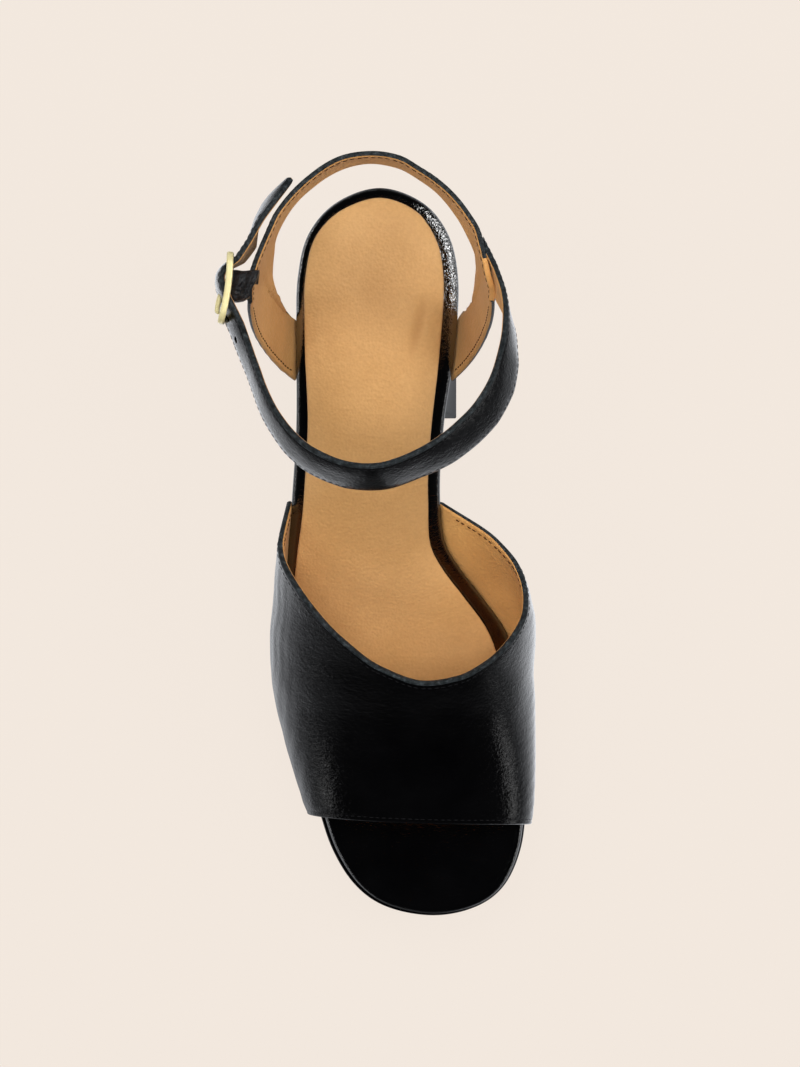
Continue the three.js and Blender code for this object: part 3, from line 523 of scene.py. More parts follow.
def tanLeather(name, base, deep, grain=1.0, paintReach=None, hollowShadeAndBurnish=None, roughness=0.52):
    material, tree, shader = newMaterial(name)
    vector = objectCoords(tree)
    blotches = rampOf(tree, noiseOf(tree, vector, 38, 5), (0.35, deep), (0.68, base))
    fine = rampOf(tree, noiseOf(tree, vector, 850, 4, 0.65), (0.3, (0.78, 0.76, 0.74)), (0.7, (1, 1, 1)))
    color = mixColor(tree, 0.5, blotches, fine, "MULTIPLY")
    # Darker colour in the pressed hollows of the padding: partly burnished wear, partly painted shade where the
    # hollows fall into shade
    if hollowShadeAndBurnish:
        hollowDepth = tree.nodes.new("ShaderNodeAttribute")
        hollowDepth.attribute_name = "press"
        share = rampOf(tree, hollowDepth.outputs["Fac"], (0.4, (0, 0, 0)), (0.95, (0.8, 0.8, 0.8)))
        color = mixColor(tree, share, color, hollowShadeAndBurnish)
    if paintReach:
        ragged = tree.nodes.new("ShaderNodeMath")
        ragged.operation = "MULTIPLY_ADD"
        link(tree, noiseOf(tree, vector, 850, 3, 0.7), ragged.inputs[0])
        ragged.inputs[1].default_value = 3.2
        ragged.inputs[2].default_value = -1.1
        node = tree.nodes.new("ShaderNodeMath")
        node.operation = "SUBTRACT"
        link(tree, edgeShare(tree, paintReach), node.inputs[0])
        link(tree, ragged.outputs[0], node.inputs[1])
        painted = rampOf(tree, node.outputs[0], (0.0, (1, 1, 1)), (0.12, (0, 0, 0)))
        # Painted shade: the lining gets darker within about a millimetre of its edges, toning down the rims that
        # face up into the light
        rimShade = rampOf(tree, edgeShare(tree, 2.5 * paintReach), (0.0, (0.55, 0.5, 0.48)), (1.0, (1, 1, 1)))
        color = mixColor(tree, 1.0, color, rimShade, "MULTIPLY")
        color = mixColor(tree, painted, color, (0.03, 0.034, 0.038))
    link(tree, color, shader.inputs["Base Color"])
    pores = cellsOf(tree, vector, 1050)
    creases = noiseOf(tree, vector, 500, 5, 0.6, 0.6)
    normal = bumpOf(tree, creases, 0.00022, 0.55 * grain)
    normal = bumpOf(tree, pores, 0.0002, 0.7 * grain, normal)
    link(tree, normal, shader.inputs["Normal"])
    shader.inputs["Roughness"].default_value = roughness
    shader.inputs["Sheen Weight"].default_value = 0.08
    return material


def edgePaint(name, color):
    material, tree, shader = newMaterial(name)
    vector = objectCoords(tree)
    tone = rampOf(tree, noiseOf(tree, vector, 800, 5, 0.65), (0.36, tuple(0.3 * v for v in color)), (0.55, color),
                  (0.72, tuple(3 * v for v in color)))
    link(tree, tone, shader.inputs["Base Color"])
    link(tree, bumpOf(tree, noiseOf(tree, vector, 1100, 4), 0.0003, 0.8), shader.inputs["Normal"])
    shader.inputs["Roughness"].default_value = 0.5
    shader.inputs["Specular IOR Level"].default_value = 0.25
    return material


def rubber(name):
    material, tree, shader = newMaterial(name)
    vector = objectCoords(tree)
    tone = rampOf(tree, noiseOf(tree, vector, 300), (0.3, (0.012, 0.012, 0.012)), (0.7, (0.024, 0.023, 0.022)))
    link(tree, tone, shader.inputs["Base Color"])
    link(tree, bumpOf(tree, noiseOf(tree, vector, 1600, 3), 0.0002, 0.6), shader.inputs["Normal"])
    shader.inputs["Roughness"].default_value = 0.7
    return material


def goldMetal(name):
    material, tree, shader = newMaterial(name)
    vector = objectCoords(tree, (1, 1, 3))
    tone = rampOf(tree, noiseOf(tree, vector, 500), (0.3, (0.9, 0.77, 0.37)), (0.7, (0.96, 0.86, 0.48)))
    link(tree, tone, shader.inputs["Base Color"])
    link(tree, bumpOf(tree, noiseOf(tree, vector, 2500, 2), 0.00004, 0.4), shader.inputs["Normal"])
    shader.inputs["Metallic"].default_value = 0.35
    shader.inputs["Roughness"].default_value = 0.3
    return material


def thread(name, color):
    material, tree, shader = newMaterial(name)
    vector = objectCoords(tree)
    tone = rampOf(tree, noiseOf(tree, vector, 3000), (0.3, tuple(0.6 * v for v in color)), (0.7, color))
    link(tree, tone, shader.inputs["Base Color"])
    link(tree, bumpOf(tree, noiseOf(tree, vector, 4000, 2), 0.0001, 0.6), shader.inputs["Normal"])
    shader.inputs["Roughness"].default_value = 0.7
    shader.inputs["Specular IOR Level"].default_value = 0.2
    return material


def pebbled(name):
    material, tree, shader = newMaterial(name)
    vector = objectCoords(tree)
    link(tree, rampOf(tree, noiseOf(tree, vector, 800), (0.3, (0.005, 0.005, 0.006)), (0.7, (0.02, 0.02, 0.021))),
         shader.inputs["Base Color"])
    normal = bumpOf(tree, cellsOf(tree, vector, 1100, "SMOOTH_F1"), 0.0004, 0.9)
    normal = bumpOf(tree, noiseOf(tree, vector, 420, 5, 0.6, 1.0), 0.0005, 0.8, normal)
    link(tree, normal, shader.inputs["Normal"])
    shader.inputs["Roughness"].default_value = 0.36
    return material


patent = patentLeather("patent", 0.5, gloss=1.45)
patentCrinkled = patentLeather("patent_crinkled", 0.4, gloss=3.6, fine=1.4, roughness=0.03, sparkle=0.0003)
patentSmooth = patentLeather("patent_smooth", 0.55, gloss=1.45, coat=0.75)
patentSides = patentLeather("patent_sides", 0.4, coat=0.5)
lining = tanLeather("tan_lining", (0.74, 0.39, 0.125), (0.62, 0.305, 0.092), 1.0, paintReach=0.42 * mm)
# The sock's deeper brown in its hollows is partly wear, partly painted shade
sockLeather = tanLeather("tan_sock", (0.64, 0.36, 0.142), (0.56, 0.305, 0.112), 1.0, hollowShadeAndBurnish=(0.4, 0.19, 0.06))
edging = edgePaint("edge_paint", (0.021, 0.025, 0.027))
soleRubber = rubber("sole_rubber")
gold = goldMetal("gold_metal")
brownThread = thread("brown_thread", (0.09, 0.032, 0.011))
blackThread = thread("black_thread", (0.012, 0.012, 0.013))
chapeLeather = pebbled("pebbled_black")
print("finishes ready")

board = {"round": 3.3 * mm, "drop": 2.1 * mm, "low": 0.5 * mm, "crown": 0.4 * mm, "around": 120}


def makeFootbed():
    ring = planRing(stations(0, 1, board["around"], True, True))
    r, low = board["round"], board["low"]

    def row(inset, height):
        return lambda p: lift(insetPoint(p, inset, inset), height)

    def lift(p, height):
        return Vector((p[0], p[1], height(p[1])))

    def inward(share, height):
        return lambda p: lift(towardsSpine(insetPoint(p, r, r), share), height)

    rows = [inward(1, footbedUnder), inward(0.5, footbedUnder), row(low, footbedUnder)]
    rows.append(row(0, lambda y: footbedUnder(y) + low))
    for k in range(11):
        angle = math.pi / 2 * k / 10
        rise = (1 - math.sin(angle)) * board["drop"]
        rows.append(row(r * (1 - math.cos(angle)), lambda y, rise=rise: footbedTop(y) - rise))
    for share in (0.12, 0.3, 0.55, 0.8, 1):
        crown = board["crown"] * smooth(share * 1.6)
        rows.append(inward(share, lambda y, crown=crown: footbedTop(y) + crown * smooth((atOf(y) - 0.78) / 0.1)))
    bm = stackMesh(ring, rows)
    return addPiece(bm, "footbed_wrap", [patentCrinkled], ["footbed"])


makeFootbed()

rimRows = table(
    "at lateral medial",
    (0.29, -0.35, -0.35), (0.45, -0.3, -0.3), (0.56, 0.5, 0.1), (0.66, 1, 0.57),
)
slab = {"rim": 1.4 * mm, "around": 100}


def makeSlab(name, top, under, extra, rounding, material, node):
    ring = planRing(stations(breastAt + gap / last["length"], 1, slab["around"], False, True))

    def rim(side, at):
        return extra - read(rimRows, side, at) * slab["rim"]

    def row(more, height):
        def place(p):
            q = insetPoint(p, rim("lateral", p[4]) + more, rim("medial", p[4]) + more)
            return Vector((q[0], q[1], height(q[1])))
        return place

    def inward(share, height):
        def place(p):
            q = towardsSpine(p, share)
            return Vector((q[0], q[1], height(q[1])))
        return place

    rows = [inward(1, under), inward(0.5, under)]
    for k in range(4):
        angle = math.pi / 2 * k / 3
        rows.append(row(rounding * (1 - math.sin(angle)),
                        lambda y, lift=rounding * (1 - math.cos(angle)): under(y) + lift))
    for share in (0.25, 0.5, 0.75):
        rows.append(row(0, lambda y, share=share: mix(under(y) + rounding, top(y) - rounding, share)))
    for k in range(4):
        angle = math.pi / 2 * k / 3
        rows.append(row(rounding * (1 - math.cos(angle)),
                        lambda y, drop=rounding * (1 - math.sin(angle)): top(y) - drop))
    rows += [inward(0.5, top), inward(1, top)]
    piece = addPiece(stackMesh(ring, rows), name, [material], [node])
    addRounding(piece, 0.4 * mm, 2, 60)
    return piece


makeSlab("platform_cover", lambda y: footbedUnder(y) - 1.5 * gap, platformUnder, 0, 0.9 * mm,
         patentSides, "platform")
makeSlab("outsole_sheet", lambda y: platformUnder(y) - 1.5 * gap, lambda y: platformUnder(y) - last["outsole"],
         gap, 0.5 * mm, soleRubber, "outsole")

heel = {"undercut": 9.5 * mm, "base": 5 * mm, "around": 40}


# The heel's outline: the sole's own at the seat, squared and drawn in at the floor
def heelPoint(p, share):
    back, breast = last["backY"], last["breastY"]
    drawn = 1 - heel["undercut"] / (back - breast) * math.sin(math.pi / 2 * (1 - share))
    q = insetPoint(p, 0.5 * mm, 0.5 * mm)
    along = (q[1] - breast) / (back - breast)
    roundness = math.sqrt(max(0, 1 - max(0, (along - 0.52) / 0.48) ** 2))
    edge = (-1 if p[5] == "lateral" else 1) * last["seat"] / 2 * roundness
    y = breast + along * (back - breast) * drawn
    spineY = breast + (q[3] - breast) * drawn
    return (mix(edge, q[0], share), y, mix(0, q[2], share), spineY)


def makeHeel():
    ring = planRing(stations(0, breastAt, heel["around"], True, False))
    base = heel["base"]

    def top(y):
        return footbedUnder(y) - 1.3 * gap

    def level(share, height, inset=0.0):
        def place(p):
            x, y, spineX, spineY = heelPoint(p, share)
            x, y = mix(x, spineX, inset), mix(y, spineY, inset)
            return Vector((x, y, height(y)))
        return place

    rows = [level(0, lambda y: base, 1)]
    for k in range(13):
        rows.append(level(k / 12, lambda y, share=k / 12: mix(base, top(y), share)))
    rows.append(level(1, top, 1))
    block = addPiece(stackMesh(ring, rows), "heel_cover", [patentSides], ["heel_block"])
    addRounding(block, 0.7 * mm, 3, 50)
    lift = [level(0, lambda y: 0, 1), level(0, lambda y: 0), level(0, lambda y: base - gap),
            level(0, lambda y: base - gap, 1)]
    tip = addPiece(stackMesh(ring, lift), "heel_tip", [soleRubber], ["top_piece"])
    addRounding(tip, 0.4 * mm, 2, 50)


makeHeel()
print("sole and heel built")

sock = {"end": 0.75, "border": 4 * mm, "thick": 1.4 * mm, "pad": 2.4 * mm, "around": 90}
borderRows = table(
    "at lateral medial",
    (0, 0.82, 0.86), (0.06, 0.62, 1.12), (0.2, 0.66, 1.2), (0.32, 0.93, 0.98), (0.42, 0.97, 0.97),
    (0.53, 0.7, 1.5), (0.75, 0.72, 1.4),
)
# Soft hollows and ridges pressed into the padding: centre, half widths, turn in degrees, depth
sockDents = table(
    "x y wide long turn depth",
    (12.3, -5.0, 2.2, 13.0, 14, 0.6),
    (-15.5, -10.0, 3.4, 14.0, -4, 0.4),
    (0.0, 6.0, 13.0, 20.0, 0, 0.55),
    (-16.0, 22.0, 4.0, 7.0, 30, -0.35),
    (3.0, 27.0, 14.0, 2.2, 0, 0.28),
    (0.0, -38.0, 16.0, 10.0, 0, -0.25),
)


def sockPress(x, y):
    total = 0
    for row in sockDents:
        turn = math.radians(row["turn"])
        dx, dy = x / mm - row["x"], y / mm - row["y"]
        a = (dx * math.cos(turn) - dy * math.sin(turn)) / row["wide"]
        b = (dx * math.sin(turn) + dy * math.cos(turn)) / row["long"]
        total += row["depth"] * mm * math.exp(-a * a - b * b)
    return total


def makeSock():
    ring = planRing(stations(0, sock["end"], sock["around"], True, False))

    def rim(p, more):
        lateral = read(borderRows, "lateral", p[4]) * sock["border"] + more
        medial = read(borderRows, "medial", p[4]) * sock["border"] + more
        return insetPoint(p, lateral, medial)

    def under(y):
        return footbedTop(y) + 1.7 * gap

    def padAt(y):
        return clamp((sock["end"] - atOf(y)) / 0.22)

    def row(more, share, height):
        def place(p):
            q = towardsSpine(rim(p, more), share)
            return Vector((q[0], q[1], height(q)))
        return place

    def crowned(rise):
        def height(q):
            full = sock["thick"] + sock["pad"] * rise * padAt(q[1])
            press = sockPress(q[0], q[1]) * smooth(rise)
            return under(q[1]) + full - press
        return height

    rows = [row(0, 1, lambda q: under(q[1])), row(0, 0.5, lambda q: under(q[1])), row(0, 0, lambda q: under(q[1]))]
    for more, lift in ((0, 0.5), (0.12, 0.8), (0.4, 0.97)):
        rows.append(row(more * mm, 0, lambda q, lift=lift: under(q[1]) + sock["thick"] * lift))
    count = 22
    for k in range(1, count + 1):
        share = (k / count) ** 1.35
        rows.append(row(0.6 * mm, share, crowned(math.sin(math.pi / 2 * min(share * 1.9, 1)) ** 0.9)))
    bm = stackMesh(ring, rows)
    # The press depth drives the darker colour in the hollows, partly wear and partly painted shade
    press = bm.verts.layers.float.new("press")
    for vert in bm.verts:
        vert[press] = max(0, sockPress(vert.co.x, vert.co.y) / mm)
    piece = addPiece(bm, "sock_pad", [sockLeather], ["sock"])
    return piece


makeSock()
print("sock built")

vamp = {
    "wall": 2 * mm,
    "instep": 67 * mm,
    "ridge": 0.188,
    "bulge": 0.3,
    "bulgeTurn": 0.25,
    "shoulder": {"lateral": 1.45, "medial": 1.15},
    "front": (0.858, 0.876),
    "along": 190,
    "levels": 56,
    "endRound": 0.3 * mm,
    "folded": True,
    "tuck": {"lateral": 0.9 * mm, "medial": 2 * mm},
}
archRows = table(
    "at lateral medial",
    (0.419, -0.006, 0.16), (0.47, 0.004, 0.226), (0.51, 0.008, 0.212), (0.56, 0.011, 0.152),
    (0.61, 0.02, 0.072), (0.67, 0.022, 0.018), (0.76, 0.028, 0.004), (0.88, 0.036, 0.004),
)
riseRows = table("at rise", (0.419, 1), (0.51, 0.93), (0.61, 0.808), (0.67, 0.727), (0.76, 0.56), (0.88, 0.4))
throatRows = table(
    "turn at",
    (0, 0.419), (0.068, 0.446), (0.12, 0.469), (0.18, 0.497), (0.24, 0.527), (0.3, 0.565), (0.365, 0.609),
    (0.43, 0.648), (0.5, 0.668), (0.572, 0.661), (0.641, 0.641), (0.709, 0.61), (0.794, 0.562), (0.87, 0.509),
    (0.915, 0.479), (0.955, 0.45), (1, 0.419),
)


def archPoint(turn, at):
    side, sign = ("lateral", -1) if turn < 0.5 else ("medial", 1)
    t = 2 * min(turn, 1 - turn)
    y = last["backY"] - at * last["length"]
    foot = edgeX(side, at) + sign * (2 * gap + vamp["wall"])
    tuck = sign * vamp["tuck"][side] * max(0, 1 - t / vamp["bulgeTurn"]) ** 2
    flare = sign * read(archRows, side, at) * last["ball"]
    rise = read(riseRows, "rise", at) * vamp["instep"]
    reach = 1.4 * mm * max(0, 1 - t / 0.03)
    crest = vamp["ridge"] * last["ball"]
    if t < vamp["bulgeTurn"]:
        up = vamp["bulge"] * t / vamp["bulgeTurn"]
        x = foot - tuck + flare * (1 - (1 - up / vamp["bulge"]) ** 2)
    else:
        angle = math.pi / 2 * (t - vamp["bulgeTurn"]) / (1 - vamp["bulgeTurn"])
        up = vamp["bulge"] + (1 - vamp["bulge"]) * math.sin(angle) ** vamp["shoulder"][side]
        x = crest + (foot + flare - crest) * math.cos(angle)
    return Vector((x, y, footbedUnder(y) + gap + rise * up - reach))


def vampPoint(u, v):
    throat = read(throatRows, "at", u, "turn")
    return archPoint(u, mix(throat, mix(*vamp["front"], u), v))


# Low relief of worked leather, in metres along the outward normal
def vampRelief(u, v, point):
    wave = noise.noise(point * 120) * 0.09 * mm
    medialFold = math.sin((point.y * 1.0 + point.z * 0.9) / mm * 1.15 + noise.noise(point * 60) * 4)
    lateralFold = math.sin((point.y * 0.7 - point.z * 1.0) / mm * 1.25 + noise.noise(point * 70) * 4)
    middle = math.sin(point.y / mm * 1.5 + noise.noise(point * 90) * 5)
    wave += medialFold * 0.05 * mm * smooth((u - 0.72) / 0.12) * smooth((1 - u) / 0.08)
    wave += lateralFold * 0.045 * mm * smooth((0.3 - u) / 0.12) * smooth(u / 0.06)
    wave += middle * 0.035 * mm * math.exp(-((u - 0.52) / 0.06) ** 2 - ((v - 0.7) / 0.2) ** 2)
    fade = smooth(v / 0.04) * smooth((1 - v) / 0.05)
    hem = -0.35 * mm * math.exp(-((1 - v) / 0.012 - 1.2) ** 2)
    return wave * fade + hem


def normalAt(place, u, v, step=0.004):
    du = place(min(u + step, 1), v) - place(max(u - step, 0), v)
    dv = place(u, min(v + step, 1)) - place(u, max(v - step, 0))
    return du.cross(dv).normalized()


vampSign = 1 if normalAt(vampPoint, 0.5, 0.5).z > 0 else -1


def vampFace(u, v):
    point = vampPoint(u, v)
    return point + normalAt(vampPoint, u, v) * vampSign * vampRelief(u, v, point)


addLeather("vamp_band", vampFace, vampSign, vamp, [patent, lining, edging], "vamp")
print("vamp built")

quarter = {"height": 62 * mm, "wall": 1.8 * mm, "strap": 12 * mm, "belly": 3.4 * mm, "along": 260, "levels": 22,
           "bare": (0.87, 0.985)}
quarterRows = [
    dict(zip("footX footY footZ topX topY topZ belly".split(), row))
    for row in (
        (None, 0.256, 0, -1.505, 0.17, 0.87, 1), (None, 0.232, 0, -1.495, 0.148, 0.965, 1),
        (None, 0.205, 0, -1.46, 0.128, 1, 1), (None, 0.176, 0, -1.415, 0.113, 1, 0.85),
        (-1.14, 0.162, 0.13, -1.375, 0.102, 1, 0.6), (-1.225, 0.148, 0.29, -1.345, 0.094, 1, 0.4),
        (-1.28, 0.13, 0.46, -1.3, 0.083, 1, 0.2), (-1.27, 0.106, 0.63, -1.25, 0.071, 1, 0.1),
        (-1.22, 0.077, 0.77, -1.18, 0.055, 1, 0), (-1.055, 0.045, 1, -1.05, 0.036, 1, 0),
        (-0.815, 0.017, 1, -0.81, 0.01, 1, 0), (-0.45, -0.0085, 1, -0.45, -0.0155, 1, 0),
        (-0.085, -0.0175, 1, -0.082, -0.0225, 1, 0), (0.262, -0.011, 1, 0.262, -0.017, 1, 0),
        (0.5, 0.003, 1, 0.49, -0.003, 1, 0), (0.75, 0.024, 1, 0.73, 0.015, 1, 0),
        (0.98, 0.056, 1, 0.94, 0.037, 1, 0), (1.13, 0.086, 0.75, 1.09, 0.059, 1, 0),
        (1.205, 0.114, 0.58, 1.17, 0.073, 1, 0), (1.21, 0.132, 0.45, 1.205, 0.084, 1, 0.1),
        (1.185, 0.151, 0.3, 1.225, 0.093, 1, 0.2), (1.13, 0.166, 0.14, 1.245, 0.101, 1, 0.4),
        (None, 0.178, 0, 1.27, 0.113, 1, 0.7), (None, 0.207, 0, 1.31, 0.132, 0.99, 0.8),
        (None, 0.233, 0, 1.36, 0.15, 0.95, 0.8), (None, 0.257, 0, 1.36, 0.168, 0.88, 0.8),
    )
]
strapTop = footbedUnder(last["backY"]) + quarter["height"]


def quarterRowPoint(row, share):
    half = last["seat"] / 2
    seat = footbedUnder(last["backY"] - row["footY"] * last["length"]) + gap
    seat -= 1.4 * mm if row["footX"] is None else 0
    foot = strapTop - quarter["strap"] if row["footZ"] > 0.99 else mix(seat, strapTop, row["footZ"])
    sign = math.copysign(1, row["topX"])
    side = "lateral" if sign < 0 else "medial"
    beside = edgeX(side, row["footY"]) + sign * (gap * 1.5 + quarter["wall"])
    footX = beside - sign * 0.8 * mm * (1 - share) ** 2 if row["footX"] is None else row["footX"] * half
    swell = row["belly"] * quarter["belly"] * 4 * share * (1 - share)
    top = mix(footbedUnder(last["backY"]), strapTop, row["topZ"])
    return Vector((
        mix(footX, row["topX"] * half, share) + sign * swell,
        last["backY"] - mix(row["footY"], row["topY"], share) * last["length"],
        mix(foot, top, share),
    ))


def quarterPoint(u, v):
    count = len(quarterRows)
    return onCurve(lambda k: quarterRowPoint(quarterRows[k], v), count, u * (count - 1))


quarterSign = 1 if normalAt(quarterPoint, 0.48, 0.5).y > 0 else -1


def quarterFace(u, v):
    point = quarterPoint(u, v)
    out = Vector((point.x, point.y - 5 * mm, 0)).normalized()
    crown = 0.35 * mm * (1 - (2 * v - 1) ** 4)
    ripple = noise.noise(point * 160) * 0.1 * mm * smooth(v / 0.1) * smooth((1 - v) / 0.1)
    wave = math.sin((point.z * 0.75 + point.y * 1.1) / mm * 0.9 + noise.noise(point * 80) * 5)
    ripple += wave * 0.07 * mm * smooth((0.2 - u) / 0.06) * smooth((0.7 - v) / 0.3) * smooth(v / 0.08)
    return point + out * (crown + ripple)


addLeather("heel_tabs", quarterFace, quarterSign, quarter, [patent, lining, edging], "quarter_strap")
print("heel tabs built")

# The buckle's own frame: x along the strap to the front, y up across it, z out of the shoe
buckle = {
    "bar": 1 * mm, "length": 21.5 * mm, "height": 20 * mm, "corner": 4 * mm, "bow": 0.7 * mm,
    "tilt": -2, "turn": 7.9, "lean": 2.5, "x": -1.745, "y": 0.152, "rise": 0.225,
    "prong": 0.9 * mm, "chapeDrop": 1.5 * mm,
}
ankle = {"width": 15 * mm, "wall": 1.8 * mm, "rise": 30 * mm, "tip": 0.045, "taper": 0.8, "hole": 1.1 * mm,
         "pitch": 7.5 * mm, "along": 520, "levels": 16, "prongFrom": Vector((0.2, 0, -2.2)) * mm,
         "prongTo": Vector((3.6, 0, 2.6)) * mm}

turned, tilted, leaned = (math.radians(buckle[key]) for key in ("turn", "tilt", "lean"))
forward = Vector((-math.sin(turned), -math.cos(turned), 0))
buckleAxis = forward * math.cos(tilted) + Vector((0, 0, math.sin(tilted)))
outward = Vector((-math.cos(turned), math.sin(turned), 0))
upright = Vector((0, 0, math.cos(leaned))) - outward * math.sin(leaned)
buckleOut = buckleAxis.cross(upright).normalized()
buckleUp = buckleOut.cross(buckleAxis)
buckleMiddle = Vector((
    buckle["x"] * last["seat"] / 2,
    last["backY"] - buckle["y"] * last["length"],
    strapTop + buckle["rise"] * ankle["rise"] - ankle["width"] / 2 * math.cos(leaned),
))
bucklePlace = Matrix.Translation(buckleMiddle) @ Matrix((buckleAxis, buckleUp, buckleOut)).transposed().to_4x4()
endBar = buckle["length"] / 2 - buckle["bar"]

frontRows = table(
    "x y rise lean",
    (1.14, 0.085, -0.1, -5), (1.345, 0.134, 0.13, -12), (1.42, 0.168, 0.27, -5), (1.41, 0.206, 0.4, 12),
    (1.335, 0.243, 0.53, 25), (1.245, 0.271, 0.63, 31), (1.084, 0.3, 0.73, 34), (0.904, 0.321, 0.8, 34),
    (0.665, 0.343, 0.88, 32), (0.376, 0.361, 0.95, 28), (0.039, 0.374, 1, 28), (-0.295, 0.373, 0.98, 27),
    (-0.636, 0.359, 0.92, 25), (-0.86, 0.341, 0.83, 22), (-1.09, 0.31, 0.69, 17), (-1.23, 0.28, 0.56, 14),
    (-1.31, 0.256, 0.46, 14), (-1.385, 0.234, 0.36, 15),
)
tailRows = table(
    "x y rise lean",
    (-1.43, 0.096, 0.18, -4), (-1.29, 0.069, 0.13, 8), (-1.12, 0.043, 0.07, 14), (-0.93, 0.0175, 0, 17),
)
# Through the buckle: along in half lengths, depth of the strap's inner face, swing of its lower edge
weaveRows = table(
    "along depth swing",
    (1.02, -7.6, 0.33), (0.8, -6.2, 0.3), (0.5, -4.2, 0.24), (0.2, -2.2, 0.17), (-0.1, -0.4, 0.12),
    (-0.33, 0.3, 0.08), (-0.52, -0.2, 0.03), (-0.68, -1.6, -0.05), (-0.84, -3.1, -0.1), (-1.02, -4.0, -0.12),
)


def ankleStations():
    def place(row):
        point = Vector((row["x"] * last["seat"] / 2, last["backY"] - row["y"] * last["length"],
                        strapTop + row["rise"] * ankle["rise"]))
        return point, row["lean"], None

    def weave(row):
        local = Vector((row["along"] * endBar, ankle["width"] / 2, row["depth"] * mm))
        return bucklePlace @ local, 0, (buckleOut * row["swing"] - buckleUp).normalized()

    stops = [place(row) for row in frontRows]
    stops += [weave(row) for row in weaveRows]
    stops += [place(row) for row in tailRows]
    points = [stop[0] for stop in stops]
    downs = []
    for i, (point, lean, down) in enumerate(stops):
        if down is None:
            ahead = onCurve(points.__getitem__, len(points), min(i + 0.01, len(points) - 1))
            along = (ahead - onCurve(points.__getitem__, len(points), max(i - 0.01, 0))).normalized()
            side = Vector((-along.y, along.x, 0)).normalized() * math.sin(math.radians(lean))
            down = side - Vector((0, 0, math.cos(math.radians(lean))))
        downs.append(down)
    return points, downs


anklePoints, ankleDowns = ankleStations()


# Inner face of the ankle strap: u from the medial end to the tip, v from the lower to the upper edge
def anklePoint(u, v):
    t = u * (len(anklePoints) - 1)
    low = min(int(t), len(anklePoints) - 2)
    down = ankleDowns[low].lerp(ankleDowns[low + 1], t - low).normalized()
    past = max(0, (u - (1 - ankle["tip"])) / ankle["tip"])
    width = ankle["width"] * (1 - ankle["taper"] * past)
    return onCurve(anklePoints.__getitem__, len(anklePoints), t) + down * width * (1 - v)


ankleSign = 1 if normalAt(anklePoint, 0.28, 0.5).y < 0 else -1


def ankleOuter(u, v, lift=0.0):
    crown = 0.8 * mm * (1 - abs(2 * v - 1) ** 2.6)
    return anklePoint(u, v) + normalAt(anklePoint, u, v) * ankleSign * (ankle["wall"] + crown + lift)


def spareHoles():
    root = bucklePlace @ Vector((1.3 * mm, 0, 0))
    places = [k / 1500 for k in range(1501)]
    middle = [anklePoint(u, 0.5) for u in places]
    start = min(range(len(middle)), key=lambda k: (middle[k] - root).length)
    holes = []
    for number in (1, 2):
        k, left = start, number * ankle["pitch"]
        while left > 0:
            left -= (middle[k] - middle[k - 1]).length
            k -= 1
        holes.append((middle[k], normalAt(anklePoint, places[k], 0.5) * ankleSign))
    return holes


def ankleFace(u, v):
    point = ankleOuter(u, v)
    ripple = noise.noise(point * 150) * 0.09 * mm * smooth(v / 0.12) * smooth((1 - v) / 0.12)
    return point + normalAt(anklePoint, u, v) * ankleSign * ripple


def makeAnkleStrap():
    piece = addLeather("ankle_strap_band", ankleFace, ankleSign, ankle, [patentSmooth, lining, edging],
                       "ankle_strap")
    cutterMesh = bmesh.new()
    prongFrom, prongTo = ankle["prongFrom"], ankle["prongTo"]
    rods = [(point, normal, 3 * ankle["wall"]) for point, normal in spareHoles()]
    rods.append((bucklePlace @ ((prongFrom + prongTo) / 2), bucklePlace.to_3x3() @ (prongTo - prongFrom),
                 (prongTo - prongFrom).length))
    for point, normal, length in rods:
        turn = Vector((0, 0, 1)).rotation_difference(normal.normalized()).to_matrix().to_4x4()
        bmesh.ops.create_cone(cutterMesh, cap_ends=True, segments=16, radius1=ankle["hole"], radius2=ankle["hole"],
                              depth=length, matrix=Matrix.Translation(point) @ turn)
    mesh = bpy.data.meshes.new("holes")
    cutterMesh.to_mesh(mesh)
    cutterMesh.free()
    cutter = bpy.data.objects.new("holes", mesh)
    bpy.context.scene.collection.objects.link(cutter)
    holes = piece.modifiers.new("Holes", "BOOLEAN")
    holes.operation = "DIFFERENCE"
    holes.object = cutter
    holes.solver = "MANIFOLD"
    applyModifiers(piece)
    bpy.data.objects.remove(cutter)
    piece.data.polygons.foreach_set("use_smooth", [True] * len(piece.data.polygons))


makeAnkleStrap()
print("ankle strap built")


def bowAt(x):
    return -buckle["bow"] * (1 - (x / endBar) ** 2)


# A bar along a path of (point, across, up, radius): u runs along it, v round its squared section
def barMesh(path, squareness=2.0, closed=False, flat=1.0):
    count = len(path) if closed else len(path) - 1
    around = 20

    def place(u, v):
        point, across, up, radius = path[int(round(u * count)) % len(path)]
        angle = 2 * math.pi * v
        c, s = math.cos(angle), math.sin(angle)
        spread = (abs(c) ** squareness + abs(s) ** squareness) ** (-1 / squareness)
        return bucklePlace @ (point + (across * c + up * s * flat) * radius * spread)

    bm = sheetMesh(count, around, place)
    bmesh.ops.remove_doubles(bm, verts=bm.verts, dist=1e-6)
    bmesh.ops.recalc_face_normals(bm, faces=bm.faces)
    return bm


def sidesOf(points, closed):
    path = []
    for i, point in enumerate(points):
        if closed:
            along = (points[(i + 1) % len(points)] - points[i - 1]).normalized()
        else:
            along = (points[min(i + 1, len(points) - 1)] - points[max(i - 1, 0)]).normalized()
        across = along.cross(Vector((0, 0, 1)))
        if across.length < 0.1:
            across = along.cross(Vector((0, 1, 0)))
        across.normalize()
        path.append((point, across, across.cross(along)))
    return path


